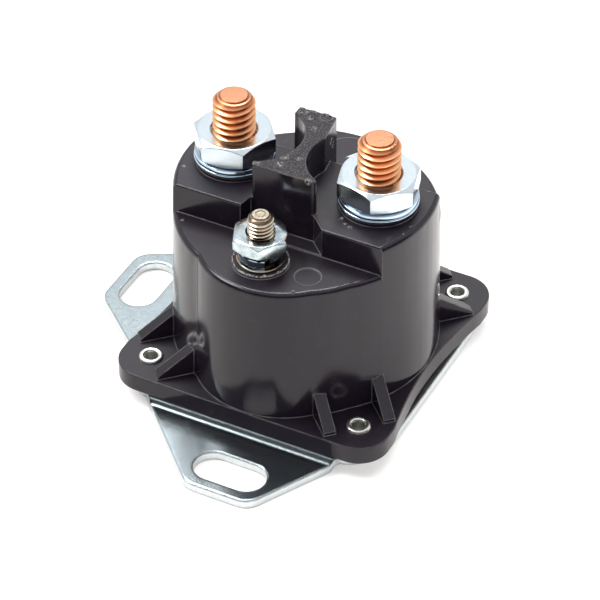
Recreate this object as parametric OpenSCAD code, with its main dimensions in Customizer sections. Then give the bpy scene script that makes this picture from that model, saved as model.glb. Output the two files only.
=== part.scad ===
// Three-terminal continuous-duty style solenoid switch for 12 V circuits.
// Origin: where the plunger axis meets the mounting plane under the bracket's wings.
// +Z runs up along the studs, +X along the line of the two copper studs, and -Y is the
// side with the small control stud and the front mounting wing. All sizes in millimetres.

/* [Housing] */
// Radius of the moulded body where it meets the flange
body_base_r = 25; // [24:0.1:26]
// Draft of the moulded walls in degrees
wall_draft = 1.1; // [0.5:0.1:2]
// Thickness of the moulded walls
wall_t = 2.7; // [2.2:0.1:3]
// Height of the body from the flange top to the low level
body_h = 28.2; // [28:0.1:32]
// Height of the stud platforms above the low level
platform_h = 6.05; // [5:0.05:8]
// Front edge of the stud platforms as a share of the body's radius
platform_front_share = 0.488; // [0.46:0.001:0.52]
// Back edge of the stud platforms as a share of the body's radius
platform_back_share = 0.284; // [0.24:0.001:0.36]
// Depth by which the level behind the left platform lies lower
back_step = 1.3; // [0.6:0.1:1.3]
// Radius rolled onto the top rims
rim_r = 1; // [0.4:0.1:1.4]
// Radius of the nose round the control stud as a share of the body's radius
nose_r_share = 0.668; // [0.64:0.001:0.7]
// Offset of the nose's centre along X
nose_x = 0.7; // [0:0.1:1.2]
// Offset of the nose's centre towards the front as a share of the body's radius
nose_y_share = 0.428; // [0.4:0.001:0.448]

/* [Flange] */
// Distance by which the flange's sides stand out beyond the round body
flange_margin = 2.5; // [2:0.1:3.5]
// Distance from the flange's sides to a rivet's centre
rivet_edge = 6.1; // [5.8:0.1:6.4]
// Radius of the flange's corners
flange_corner_r = 6; // [5:0.1:6.4]
// Thickness of the flange
flange_t = 3.7; // [3:0.1:5]
// Depth of the hollow in the left and right sides of the flange
flange_waist = 1.9; // [1:0.1:2.1]
// Length of that hollow as a share of the flange's width
flange_waist_share = 0.69; // [0.62:0.01:0.72]
// Thickness of the gusset ribs
rib_t = 2.3; // [1.6:0.1:3]
// Height of a gusset rib at the wall
rib_h = 5.5; // [4:0.1:7]
// Distance of a gusset rib from the corner's diagonal
rib_offset = 5.7; // [5.2:0.1:6.2]
// Distance from the round body to a rib's outer end
rib_len = 6; // [5:0.1:6.4]

/* [Divider] */
// Height of the divider above the platforms
divider_h = 7.4; // [6:0.1:10]
// Width of the divider across its ears
divider_w = 12.7; // [12:0.1:13]
// Offset of the divider's middle along X
divider_x = -0.35; // [-0.4:0.05:0]
// Front face of the divider as a share of the body's radius
divider_front_share = 0.368; // [0.36:0.001:0.39]
// Back end of the divider at the low level as a share of the body's radius
divider_back_share = 0.436; // [0.4:0.001:0.448]
// Thickness of the divider at its waist
divider_waist = 2.3; // [2:0.1:2.6]
// Radius of the two hollows that clear the nuts
divider_hollow_r = 9.2; // [9:0.1:9.4]
// Radius of the divider's upright corners
divider_corner_r = 0.7; // [0.4:0.1:0.9]

/* [Studs and nuts] */
// Distance from the axis to a copper stud's centre as a share of the body's radius
stud_at_share = 0.5828; // [0.58:0.0001:0.592]
// Major radius of the copper studs' thread
stud_r = 3.93; // [3.8:0.01:3.97]
// Length of copper thread standing above its nut
stud_free = 7.4; // [6:0.1:12]
// Width across flats of the big nuts
nut_af = 13.8; // [13:0.1:14.2]
// Height of the big nuts
nut_h = 4.4; // [4:0.1:5.5]
// Radius of the flat washers under the big nuts
washer_r = 7.45; // [7.2:0.05:7.6]
// Thickness of the flat washers under the big nuts
washer_t = 0.8; // [0.6:0.1:1.2]
// Height of the dished spring washers under the big nuts
spring_washer_h = 1.1; // [0.8:0.1:1.5]
// Height of the moulded seat rings under the big washers
stud_seat_h = 0.75; // [0.4:0.05:1.2]

/* [Control stud] */
// Distance from the axis to the control stud as a share of the body's radius
control_at_share = 0.732; // [0.724:0.001:0.744]
// Major radius of the control stud's thread
control_r = 2.4; // [2.3:0.01:2.45]
// Length of control thread standing above its nut
control_free = 3.8; // [3:0.1:6]
// Width across flats of the control nut
control_af = 9.53; // [9:0.01:10]
// Height of the control nut
control_nut_h = 2.8; // [2.4:0.1:3.4]
// Radius of the flat washer under the control nut
control_washer_r = 4.4; // [4.2:0.1:4.8]
// Thickness of the flat washer under the control nut
control_washer_t = 0.7; // [0.5:0.1:1]
// Free height of the split lock washer
lock_washer_h = 2.9; // [2.6:0.1:3.4]
// Thickness of the split lock washer's section
lock_washer_t = 1.2; // [1:0.1:1.3]

/* [Bracket] */
// Thickness of the bracket's steel plate
plate_t = 1.9; // [1.5:0.1:2.5]
// Height that the bracket's middle is raised above its wings
joggle = 1; // [0.8:0.1:1.5]
// Distance by which the flange stands out beyond the bracket's raised middle
bracket_inset = 1.2; // [0.8:0.1:1.5]
// Radius of the raised middle's corners
bracket_corner_r = 8.5; // [6:0.1:9]
// Length of the front wing beyond the flange
front_wing_len = 16.2; // [14.5:0.1:20.5]
// Length of the left wing beyond the flange
left_wing_len = 14.2; // [12.5:0.1:18.5]
// Radius of the wings' corners
wing_corner_r = 4; // [3.5:0.1:4.5]
// Length of the mounting slots
slot_len = 14.2; // [12:0.1:15]
// Width of the mounting slots
slot_w = 7.6; // [6.5:0.1:8]
// Steel left between a slot and its wing's tip
slot_edge = 2.2; // [2:0.1:3]
// Thickness of the gasket under the flange
gasket_t = 0.5; // [0.3:0.1:0.8]

/* [Coil and magnet frame] */
// Thickness of the magnet frame's steel strap
strap_t = 2; // [1.5:0.1:2.2]
// Width of the magnet frame's steel strap as a share of the body's radius
strap_w_share = 0.88; // [0.72:0.01:0.9]
// Gap between the magnet frame's upper corners and the wall
frame_gap = 0.84; // [0.3:0.01:1]
// Depth of the copper winding below the rims of the bobbin
winding_inset = 1.1; // [0.7:0.1:2]
// Thickness of the bobbin's walls
bobbin_t = 1.1; // [0.8:0.1:1.4]
// Inner radius of the guide sleeve as a share of the bobbin's radius
sleeve_share = 0.3871; // [0.36:0.0001:0.4]

/* [Plunger and contacts] */
// Travel of the plunger from rest to the fixed core
plunger_travel = 2.5; // [2:0.1:2.5]
// Share of that travel that the contact disc makes before it meets the studs
contact_share = 0.8; // [0.7:0.05:0.9]
// Length of the contact spring at rest
contact_spring_len = 2.75; // [2.6:0.05:3]
// Radius of the push rod
rod_r = 1.5; // [1.3:0.05:1.6]
// Radius of the copper contact disc as a share of a stud's distance from the axis
disc_share = 0.9334; // [0.9:0.001:0.96]
// Thickness of the copper contact disc
disc_t = 1.9; // [1.5:0.1:2]
// Radius of the stud heads as a share of a stud's distance from the axis
stud_head_share = 0.4393; // [0.41:0.0001:0.446]

/* [Hidden] */

$fn = 96;

// overrun of a cutting tool past the face that it opens
overrun = 0.5;
// radial gap round pieces that are pushed or screwed together
seat_gap = 0.04;
// radial gap round pieces that slide
run_gap = 0.06;
// turn that keeps a cutter's seam line off the thin wall that it leaves
seam_turn = 77;

// heights of the stack, counted up from the mounting plane
plate_top = joggle + plate_t;
flange_low = plate_top + gasket_t;
flange_top = flange_low + flange_t;
low_top = flange_top + body_h;
platform_top = low_top + platform_h;
divider_top = platform_top + divider_h;

// sizes in plan, all worked from the round body
nose_base_r = body_base_r * nose_r_share;
nose_y = body_base_r * nose_y_share;
platform_front = body_base_r * platform_front_share;
platform_back = body_base_r * platform_back_share;
divider_front = body_base_r * divider_front_share;
divider_back = body_base_r * divider_back_share;
control_y = body_base_r * control_at_share;
strap_w = body_base_r * strap_w_share;
flange_w = 2 * (body_base_r + flange_margin);
flange_waist_len = flange_w * flange_waist_share;
rib_reach = body_base_r + rib_len;
bracket_w = flange_w - 2 * bracket_inset;
front_reach = flange_w / 2 + front_wing_len;
left_reach = flange_w / 2 + left_wing_len;

// swell between the round body and the right side of the nose
swell_r = (body_base_r + nose_base_r) / 2 - 0.1 * rim_r;
swell_x = nose_x / 2 + 0.6 * rim_r;
swell_y = nose_y / 2;

stud_x = body_base_r * stud_at_share;
stud_y = -0.5;
stud_head_r = stud_x * stud_head_share;
disc_r = stud_x * disc_share;
rivet_at = flange_w / 2 - rivet_edge;
corner_at = flange_w / 2 - flange_corner_r;

// the ceiling over the low level is a wall thick, less a little where the mould core meets it
ceiling_t = wall_t - 0.3 * rim_r;
ceiling_z = low_top - ceiling_t;

// eyelet rivets
rivet_bore_r = 1.2;
rivet_shank_r = 1.8;
rivet_head_r = 2.33;
rivet_tail_r = 2.5;
rivet_hole_r = rivet_shank_r + seat_gap;

// copper studs: below the nut's top the thread is drawn at its mean radius
stud_core_share = 0.93;
stud_core_r = stud_r * stud_core_share;
stud_end_r = 2.6;
stud_end_h = 0.35;
stud_chamfer = 0.85;
seat_z = platform_top + stud_seat_h;
washer_top = seat_z + washer_t;
spring_washer_top = washer_top + spring_washer_h;
nut_top = spring_washer_top + nut_h;
stud_top = nut_top + stud_free;
stud_seat_r = 7.15;
washer_hole_r = 4.25;
nut_angle_left = -50.9;
nut_angle_right = -75.2;

// control stud stack
control_ring_h = 0.5;
control_ring_r = 5.2;
control_seat_z = low_top + control_ring_h;
control_washer_top = control_seat_z + control_washer_t;
lock_washer_top = control_washer_top + lock_washer_h;
control_nut_top = lock_washer_top + control_nut_h;
control_top = control_nut_top + control_free;
control_head_r = 3.3;
control_head_h = 1.5;
control_end_r = 1.6;
control_end_h = 0.35;
control_chamfer = 0.55;
lock_washer_r = 4;
control_hole_r = control_r + 0.2 * control_ring_h;
control_core_r = control_r * stud_core_share;
lock_washer_gap_angle = 14;
lock_washer_gap_at = -46;
control_nut_angle = -67.4;

// marks left by the mould on the low levels
plug_r = 4.4;
plug_h = 1;
plug_at_share = 0.688;
plug_y = body_base_r * plug_at_share;
ejector_r = 2.4;
ejector_depth = 0.2;
ejector_at_share = 0.376;
ejector_x = body_base_r * ejector_at_share;

// pocket in front of the divider that clears the control nut
pocket_floor = 0.3;
pocket_left = 7.4;
pocket_right = 9.6;
edge_round = 0.35;

// contact carrier, worked down from the stud heads
contact_travel = plunger_travel * contact_share;
contact_spare = 0.05;
stud_head_h = 2.4;
stud_head_drop = 1;
stud_head_low = ceiling_z - stud_head_drop;
stud_head_top = stud_head_low + stud_head_h;
disc_top = stud_head_low - contact_travel - contact_spare;
disc_low = disc_top - disc_t;
bushing_r = 4.5;
bushing_flange_t = 0.8;
bushing_hub_r = 2.7;
bushing_low = disc_low - bushing_flange_t;
cap_washer_t = 0.8;
clip_low = disc_top + cap_washer_t;
clip_t = 0.6;
clip_r = 3;
clip_groove_r = rod_r - 0.3;
rod_end = 0.9;
rod_top = clip_low + clip_t + rod_end;
carrier_room = 0.8;
carrier_pocket_r = bushing_r + carrier_room;
carrier_pocket_top = rod_top + plunger_travel + 0.75 * carrier_room;

// fixed core, flux plate and bobbin, worked down from the contact spring to the frame's foot
shoulder_r = 2.8;
shoulder_h = 0.8;
shoulder_gap = 0.8;
shoulder_z = bushing_low - contact_spring_len - shoulder_h;
core_collar_r = 7.2;
core_collar_h = 0.8;
core_top = shoulder_z - shoulder_gap;
flux_top = core_top - core_collar_h;
bobbin_top = flux_top - strap_t;
frame_low = plate_top;
bobbin_low = frame_low + strap_t;
bobbin_h = bobbin_top - bobbin_low;

// the magnet frame is as wide as the drafted cavity allows at the flux plate's top
cavity_r = body_base_r - wall_t;
cavity_low = flange_low - overrun;
frame_corner_r = cavity_r - (flux_top - cavity_low) * tan(wall_draft) - frame_gap;
frame_w = 2 * sqrt(pow(frame_corner_r, 2) - pow(strap_w / 2, 2));
strap_bend_r = 1;

// leads; the bobbin stays clear of the frame's arms and of the lead to the control stud
lead_r = 0.5;
lead_bend_r = 1.2;
lead_y = control_y - control_head_r + 2.2 * lead_r;
lead_z = bobbin_top - bobbin_t - 2.6 * lead_r;
ground_lead_z = bobbin_low + bobbin_t + 4 * lead_r;
arm_gap = 0.5;
bobbin_r = min(frame_w / 2 - strap_t - arm_gap, lead_y - 1.2 * lead_r);
winding_r = bobbin_r - winding_inset;
sleeve_r = bobbin_r * sleeve_share;
sleeve_t = 0.25;
bobbin_bore_r = sleeve_r + sleeve_t + seat_gap;
bobbin_hub_r = bobbin_bore_r + bobbin_t;

// plunger, core and push rod: shares are of the room between the bobbin's foot and core_top
slide_r = sleeve_r - run_gap;
core_gap = 0.2;
core_share = 0.3687;
core_len = (core_top - bobbin_low) * core_share;
core_low = core_top - core_len;
plunger_top = core_low - plunger_travel - core_gap;
plunger_len = plunger_top - bobbin_low;
spring_pocket_share = 0.5725;
spring_pocket_r = slide_r * spring_pocket_share;
plunger_pocket_share = 0.3488;
plunger_pocket = plunger_len * plunger_pocket_share;
core_pocket_share = 0.2727;
core_pocket = core_len * core_pocket_share;
pocket_lead_in = 0.4;
rod_foot_share = 0.2791;
rod_low = bobbin_low + plunger_len * rod_foot_share;
rod_hole_r = rod_r + run_gap;

// coil springs
return_spring_share = 0.78;
return_spring_r = spring_pocket_r * return_spring_share;
return_spring_turns = 5;
contact_spring_r = 2.2;
contact_spring_turns = 2.5;
spring_wire_r = 0.3;
rings_per_turn = 12;
wire_sides = 6;

// colours
moulding = [0.06, 0.055, 0.065];
zinc = [0.78, 0.8, 0.84];
copper = [0.85, 0.48, 0.3];
tin = [0.86, 0.84, 0.8];
pale_brass = [0.82, 0.76, 0.62];
steel = [0.55, 0.56, 0.58];
rubber = [0.09, 0.09, 0.09];
nylon = [0.85, 0.82, 0.72];
wire_copper = [0.72, 0.32, 0.14];

// Radius of a drafted wall at height z, from its radius at the top of the flange
function drafted(r, z) = r - (z - flange_top) * tan(wall_draft);

// Profile of a drafted, closed wall with its rim rolled over, from inside the flange to z_top
module drafted_profile(r, z_top) {
    foot = flange_top - flange_t / 2;
    r_top = drafted(r, z_top);
    polygon([
        [0, foot], [drafted(r, foot), foot], [r_top, z_top - rim_r],
        [r_top - rim_r, z_top], [0, z_top]
    ]);
    translate([r_top - rim_r, z_top - rim_r])
        circle(rim_r);
}

// Plate outline made from the centres of its rounded corners, listed anticlockwise
module rounded_outline(centres, r) {
    count = len(centres);
    polygon(centres);
    for (i = [0 : count - 1]) {
        a = centres[i];
        b = centres[(i + 1) % count];
        out = [b[1] - a[1], a[0] - b[0]] * (r / norm(b - a));
        translate(a)
            circle(r);
        polygon([a, a + out, b + out, b]);
    }
}

// Four copies turned about the axis, for the corners of the flange
module each_corner() {
    for (k = [0 : 3])
        rotate(90 * k)
            children();
}

// Flange outline: a rounded square whose left and right sides are hollowed
module flange_outline() {
    half_len = flange_waist_len / 2;
    hollow_r = (half_len * half_len + flange_waist * flange_waist) / (2 * flange_waist);
    difference() {
        rounded_outline([
            [-corner_at, -corner_at], [corner_at, -corner_at],
            [corner_at, corner_at], [-corner_at, corner_at]
        ], flange_corner_r);
        for (side = [-1, 1])
            translate([side * (flange_w / 2 - flange_waist + hollow_r), 0])
                circle(hollow_r, $fn = 360);
    }
}

// Pair of gusset ribs that flank one corner's rivet, parallel to the diagonal
module corner_ribs() {
    inside = body_base_r - wall_t / 2 - rib_t;
    sunk = flange_t / 4;
    for (side = [-1, 1])
        rotate(45)
            translate([0, side * rib_offset + rib_t / 2, flange_top])
                rotate([90, 0, 0])
                    linear_extrude(rib_t)
                        polygon([
                            [inside, -sunk], [rib_reach, -sunk],
                            [rib_reach, rib_h / 8], [body_base_r - rib_h / 6, rib_h],
                            [inside, rib_h]
                        ]);
}

// Raised part of the body that carries the two copper studs
module platform_block() {
    back = platform_back - edge_round;
    front = platform_front - edge_round;
    top = platform_top - edge_round;
    intersection() {
        rotate_extrude()
            drafted_profile(body_base_r, platform_top);
        translate([-body_base_r, 0, 0])
            rotate([90, 0, 90])
                linear_extrude(2 * body_base_r)
                    union() {
                        translate([-platform_front, flange_top])
                            square([platform_front + platform_back, top - flange_top]);
                        translate([-front, flange_top])
                            square([front + back, platform_top - flange_top]);
                        translate([-front, top])
                            circle(edge_round, $fn = 48);
                        translate([back, top])
                            circle(edge_round, $fn = 48);
                    }
    }
}

// Insulating divider between the studs: two hollows, three ears, drafted walls
module divider() {
    hollow_at = divider_hollow_r + divider_waist / 2;
    taper = divider_h * tan(2 * wall_draft);
    rise = divider_top - low_top;
    side_at = divider_w / 2 - divider_corner_r;
    front_at = divider_front - divider_corner_r;
    back_at = divider_back - divider_corner_r;
    // the right-hand ear is missing at the back, where the side runs in a little
    back_x = divider_waist * 0.4;
    translate([divider_x, 0, low_top - overrun])
        difference() {
            linear_extrude(rise + overrun) {
                rounded_outline([
                    [-side_at, -front_at], [side_at, -front_at], [side_at, 0], [-side_at, 0]
                ], divider_corner_r);
                rounded_outline([
                    [-side_at, 0], [2 * back_x, 0], [back_x / 2, back_at], [-side_at, back_at]
                ], divider_corner_r);
            }
            for (side = [-1, 1])
                translate([side * hollow_at, 0, -overrun])
                    rotate(seam_turn)
                        cylinder(
                            h = rise + 3 * overrun,
                            r1 = divider_hollow_r - taper, r2 = divider_hollow_r
                        );
            // back end leans in
            translate([-divider_w, divider_back, 0])
                rotate([2 * wall_draft, 0, 0])
                    cube([2 * divider_w, divider_w, 2 * rise]);
        }
}

// Outer form of the moulding
module housing_form() {
    translate([0, 0, flange_low])
        linear_extrude(flange_t)
            flange_outline();
    difference() {
        union() {
            rotate_extrude()
                drafted_profile(body_base_r, low_top);
            // the body swells on its right so that it runs into the nose without a crease
            translate([swell_x, -swell_y, 0])
                rotate_extrude()
                    drafted_profile(swell_r, low_top);
        }
        // lower level behind the left platform
        translate([divider_x - divider_w / 2 - body_base_r, platform_back / 2, low_top - back_step])
            cube([body_base_r, body_base_r, platform_h]);
    }
    translate([nose_x, -nose_y, 0])
        rotate_extrude()
            drafted_profile(nose_base_r, low_top);
    each_corner()
        corner_ribs();
    difference() {
        union() {
            platform_block();
            divider();
        }
        // pocket that lets a socket reach the control nut
        translate([0, 0, low_top + pocket_floor])
            linear_extrude(divider_top)
                polygon([
                    [divider_x - divider_w / 2, -divider_front],
                    [-pocket_left, -platform_front - overrun],
                    [pocket_right, -platform_front - overrun],
                    [divider_x + divider_w / 2, -divider_front]
                ]);
    }
    for (side = [-1, 1])
        translate([side * stud_x, stud_y, platform_top - overrun])
            cylinder(h = stud_seat_h + overrun, r = stud_seat_r);
    translate([0, -control_y, low_top - overrun])
        cylinder(h = control_ring_h + overrun, r = control_ring_r);
    translate([0, plug_y, low_top - overrun])
        cylinder(h = plug_h + overrun, r = plug_r);
}

// Moulded housing: hollow body, flange, ribs, stud platforms and divider
module housing() {
    nose_cavity_r = nose_base_r - wall_t;
    color(moulding)
        difference() {
            housing_form();
            translate([0, 0, cavity_low])
                cylinder(
                    h = ceiling_z - cavity_low, r1 = cavity_r,
                    r2 = cavity_r - (ceiling_z - cavity_low) * tan(wall_draft)
                );
            translate([nose_x, -nose_y, cavity_low])
                cylinder(
                    h = ceiling_z - cavity_low, r1 = nose_cavity_r,
                    r2 = nose_cavity_r - (ceiling_z - cavity_low) * tan(wall_draft)
                );
            // room for the carrier and the stud heads
            translate([0, 0, ceiling_z - overrun])
                cylinder(h = carrier_pocket_top - ceiling_z + overrun, r = carrier_pocket_r);
            for (side = [-1, 1])
                translate([side * stud_x, stud_y, ceiling_z - overrun]) {
                    cylinder(h = stud_head_top - ceiling_z + overrun, r = stud_head_r + 2 * run_gap);
                    cylinder(h = seat_z + overrun, r = stud_core_r + seat_gap);
                }
            translate([0, -control_y, ceiling_z - overrun])
                cylinder(h = control_seat_z, r = control_core_r + seat_gap);
            translate([ejector_x, -control_y, low_top - ejector_depth])
                cylinder(h = platform_h, r = ejector_r);
            each_corner()
                translate([rivet_at, rivet_at, flange_low - overrun])
                    cylinder(h = flange_t + 2 * overrun, r = rivet_hole_r);
        }
}

// Plan of a slot, lengthwise along X, centred on the origin
module slot_outline() {
    half = (slot_len - slot_w) / 2;
    square([2 * half, slot_w], center = true);
    for (side = [-1, 1])
        translate([side * half, 0])
            circle(slot_w / 2);
}

// Corner centres of the two wings, worked from where they leave the raised middle
wing_root = bracket_w / 2 - wing_corner_r;
front_tip_share = [-0.03, 0.304];
front_root_share = [-0.69, 0.665];
left_tip_share = [0.289, -0.093];
left_root_share = [0.605, -0.597];
bend_start = flange_w / 2 - 0.4 * joggle;
bend_end = bend_start + 0.9 * joggle;

// Section through a wing: raised middle, bend, flat wing; it reaches along +X
module wing_section(reach) {
    polygon([
        [wing_root / 2, joggle], [bend_start, joggle], [bend_end, 0], [reach, 0],
        [reach, plate_t], [bend_end, plate_t], [bend_start, plate_top],
        [wing_root / 2, plate_top]
    ]);
}

// Wing along +X, cut to its plan outline
module wing(reach, outline) {
    intersection() {
        translate([0, bracket_w / 2, 0])
            rotate([90, 0, 0])
                linear_extrude(bracket_w)
                    wing_section(reach);
        linear_extrude(plate_top + overrun)
            rounded_outline(outline, wing_corner_r);
    }
}

// Zinc-plated steel bracket with a raised middle and two slotted wings
module mounting_bracket() {
    front_tip_at = front_reach - wing_corner_r;
    left_tip_at = left_reach - wing_corner_r;
    mid_at = bracket_w / 2 - bracket_corner_r;
    // plans of the wings as they lie along +X before they are turned to their sides
    front_plan = [
        [wing_root, bracket_w / 2 * front_root_share[0]],
        [front_tip_at, bracket_w / 2 * front_tip_share[0]],
        [front_tip_at, bracket_w / 2 * front_tip_share[1]],
        [wing_root, bracket_w / 2 * front_root_share[1]]
    ];
    left_plan = [
        [wing_root, -bracket_w / 2 * left_root_share[0]],
        [left_tip_at, -bracket_w / 2 * left_tip_share[0]],
        [left_tip_at, -bracket_w / 2 * left_tip_share[1]],
        [wing_root, -bracket_w / 2 * left_root_share[1]]
    ];
    front_slot_x = bracket_w / 2 * (front_tip_share[0] + front_tip_share[1]) / 2;
    left_slot_y = bracket_w / 2 * (left_tip_share[0] + left_tip_share[1]) / 2;
    color(zinc)
        difference() {
            union() {
                translate([0, 0, joggle])
                    linear_extrude(plate_t)
                        rounded_outline([
                            [-mid_at, -mid_at], [mid_at, -mid_at],
                            [mid_at, mid_at], [-mid_at, mid_at]
                        ], bracket_corner_r);
                rotate(-90)
                    wing(front_reach, front_plan);
                rotate(180)
                    wing(left_reach, left_plan);
            }
            translate([front_slot_x, slot_edge + slot_w / 2 - front_reach, -overrun])
                linear_extrude(plate_t + 2 * overrun)
                    slot_outline();
            translate([slot_edge + slot_w / 2 - left_reach, left_slot_y, -overrun])
                rotate(90)
                    linear_extrude(plate_t + 2 * overrun)
                        slot_outline();
            each_corner()
                translate([rivet_at, rivet_at, joggle - overrun])
                    cylinder(h = plate_t + 2 * overrun, r = rivet_hole_r);
        }
}

// Rubber gasket between the flange and the bracket
module base_gasket() {
    at = bracket_w / 2 - bracket_corner_r;
    color(rubber)
        translate([0, 0, plate_top])
            linear_extrude(gasket_t)
                difference() {
                    rounded_outline([[-at, -at], [at, -at], [at, at], [-at, at]], bracket_corner_r);
                    circle(cavity_r);
                    translate([nose_x, -nose_y])
                        circle(nose_base_r - wall_t);
                    each_corner()
                        translate([rivet_at, rivet_at])
                            circle(rivet_hole_r);
                }
}

// Tubular eyelet rivet in one corner, with a rolled head above and a rolled tail below
module rivet(corner) {
    head_mid = (rivet_head_r + rivet_bore_r) / 2;
    head_roll = (rivet_head_r - rivet_bore_r) / 2;
    tail_mid = (rivet_tail_r + rivet_bore_r) / 2;
    tail_roll = (rivet_tail_r - rivet_bore_r) / 2;
    color(tin)
        translate([corner[0] * rivet_at, corner[1] * rivet_at, 0])
            rotate_extrude() {
                translate([rivet_bore_r, joggle - overrun])
                    square([rivet_shank_r - rivet_bore_r, flange_top - joggle + overrun]);
                intersection() {
                    translate([head_mid, flange_top])
                        circle(head_roll, $fn = 48);
                    translate([rivet_bore_r, flange_top])
                        square([2 * head_roll, 2 * head_roll]);
                }
                // the tail is rolled tight and pressed level with the mounting plane
                intersection() {
                    translate([tail_mid, joggle])
                        scale([1, joggle / tail_roll])
                            circle(tail_roll, $fn = 48);
                    translate([rivet_bore_r, 0])
                        square([2 * tail_roll, joggle]);
                }
            }
}

// Copper stud: contact head inside the housing, shank, thread and end button
module copper_stud(x) {
    color(copper)
        translate([x, stud_y, 0])
            rotate_extrude()
                polygon([
                    [0, stud_head_low], [stud_head_r, stud_head_low],
                    [stud_head_r, stud_head_top], [stud_core_r, stud_head_top],
                    [stud_core_r, nut_top], [stud_r, nut_top],
                    [stud_r, stud_top - stud_end_h - stud_chamfer],
                    [stud_end_r + stud_end_h, stud_top - stud_end_h],
                    [stud_end_r, stud_top - stud_end_h], [stud_end_r, stud_top], [0, stud_top]
                ]);
}

// Hexagon nut of height h standing on z, bored to r, with a corner at the given angle
module hex_nut(af, h, z, r, point) {
    corner_r = af / sqrt(3);
    face_r = af / 2 * 0.975;
    bevel = (corner_r - face_r) * tan(30);
    mouth = r / stud_core_share + h / 16;
    translate([0, 0, z])
        intersection() {
            rotate(point)
                cylinder(h = h, r = corner_r, $fn = 6);
            rotate_extrude()
                polygon([
                    [r + seat_gap, h / 8], [mouth, 0], [face_r, 0], [corner_r, bevel],
                    [corner_r, h - bevel], [face_r, h], [mouth, h], [r + seat_gap, h - h / 8]
                ]);
        }
}

// Plain nut on a copper stud
module stud_nut(x, point) {
    color(zinc)
        translate([x, stud_y, 0])
            hex_nut(nut_af, nut_h, spring_washer_top, stud_core_r, point);
}

// Dished spring washer under a big nut
module spring_washer(x) {
    outer = washer_r - 0.2 * washer_t;
    rise = spring_washer_h / 4;
    color(zinc)
        translate([x, stud_y, washer_top])
            rotate_extrude()
                polygon([
                    [washer_hole_r, rise], [outer, 0], [outer, spring_washer_h - rise],
                    [washer_hole_r, spring_washer_h]
                ]);
}

// Flat washer under the dished one
module flat_washer(x) {
    color(zinc)
        translate([x, stud_y, seat_z])
            difference() {
                cylinder(h = washer_t, r = washer_r);
                translate([0, 0, -overrun])
                    cylinder(h = washer_t + 2 * overrun, r = washer_hole_r);
            }
}

// Small control stud with its head inside the housing
module control_stud() {
    color(pale_brass)
        translate([0, -control_y, 0])
            rotate_extrude()
                polygon([
                    [0, ceiling_z - control_head_h], [control_head_r, ceiling_z - control_head_h],
                    [control_head_r, ceiling_z], [control_core_r, ceiling_z],
                    [control_core_r, control_nut_top], [control_r, control_nut_top],
                    [control_r, control_top - control_end_h - control_chamfer],
                    [control_end_r + control_end_h, control_top - control_end_h],
                    [control_end_r, control_top - control_end_h],
                    [control_end_r, control_top], [0, control_top]
                ]);
}

// Small nut on the control stud
module control_nut() {
    color(zinc)
        translate([0, -control_y, 0])
            hex_nut(control_af, control_nut_h, lock_washer_top, control_core_r, control_nut_angle);
}

// Closed sweep of a section along a helix: section points are [radial, axial]
module helix_sweep(section, mean_r, start, sweep, rise, steps) {
    n = len(section);
    points = [for (i = [0 : steps], p = section)
        let (a = start + sweep * i / steps)
        [(mean_r + p[0]) * cos(a), (mean_r + p[0]) * sin(a), rise * i / steps + p[1]]
    ];
    sides = [for (i = [0 : steps - 1], k = [0 : n - 1])
        let (a = i * n + k, b = i * n + (k + 1) % n)
        each [[a, a + n, b + n], [a, b + n, b]]
    ];
    first_cap = [for (k = [1 : n - 2]) [0, k, k + 1]];
    last = steps * n;
    last_cap = [for (k = [1 : n - 2]) [last, last + k + 1, last + k]];
    polyhedron(points, concat(first_cap, sides, last_cap));
}

// Split lock washer, sprung open because the control nut is only finger tight
module control_lock_washer() {
    inner = control_hole_r;
    half_w = (lock_washer_r - inner) / 2;
    half_t = lock_washer_t / 2;
    section = [[-half_w, -half_t], [half_w, -half_t], [half_w, half_t], [-half_w, half_t]];
    color(zinc)
        translate([0, -control_y, lock_washer_top - half_t])
            helix_sweep(
                section, inner + half_w, lock_washer_gap_at + lock_washer_gap_angle / 2,
                360 - lock_washer_gap_angle, lock_washer_t - lock_washer_h, 40
            );
}

// Flat washer under the split one
module control_flat_washer() {
    color(pale_brass)
        translate([0, -control_y, control_seat_z])
            difference() {
                cylinder(h = control_washer_t, r = control_washer_r);
                translate([0, 0, -overrun])
                    cylinder(h = control_washer_t + 2 * overrun, r = control_hole_r);
            }
}

// U-shaped steel strap that stands on the bracket and carries the flux plate
module magnet_frame() {
    half = frame_w / 2;
    height = bobbin_top - frame_low;
    round_at = half - strap_bend_r;
    color(steel)
        translate([0, strap_w / 2, frame_low])
            rotate([90, 0, 0])
                linear_extrude(strap_w)
                    difference() {
                        union() {
                            translate([-round_at, 0])
                                square([2 * round_at, height]);
                            translate([-half, strap_bend_r])
                                square([frame_w, height - strap_bend_r]);
                            for (side = [-1, 1])
                                translate([side * round_at, strap_bend_r])
                                    circle(strap_bend_r, $fn = 48);
                        }
                        translate([-half + strap_t, strap_t])
                            square([frame_w - 2 * strap_t, height]);
                    }
}

// Steel plate that closes the magnet frame over the coil
module flux_plate() {
    color(steel)
        translate([0, 0, bobbin_top])
            difference() {
                translate([-frame_w / 2, -strap_w / 2, 0])
                    cube([frame_w, strap_w, strap_t]);
                translate([0, 0, -overrun])
                    cylinder(h = strap_t + 2 * overrun, r = slide_r + seat_gap);
            }
}

// Moulded bobbin
module bobbin() {
    color(nylon)
        translate([0, 0, bobbin_low])
            rotate_extrude()
                polygon([
                    [bobbin_bore_r, 0], [bobbin_r, 0], [bobbin_r, bobbin_t],
                    [bobbin_hub_r, bobbin_t], [bobbin_hub_r, bobbin_h - bobbin_t],
                    [bobbin_r, bobbin_h - bobbin_t], [bobbin_r, bobbin_h],
                    [bobbin_bore_r, bobbin_h]
                ]);
}

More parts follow.
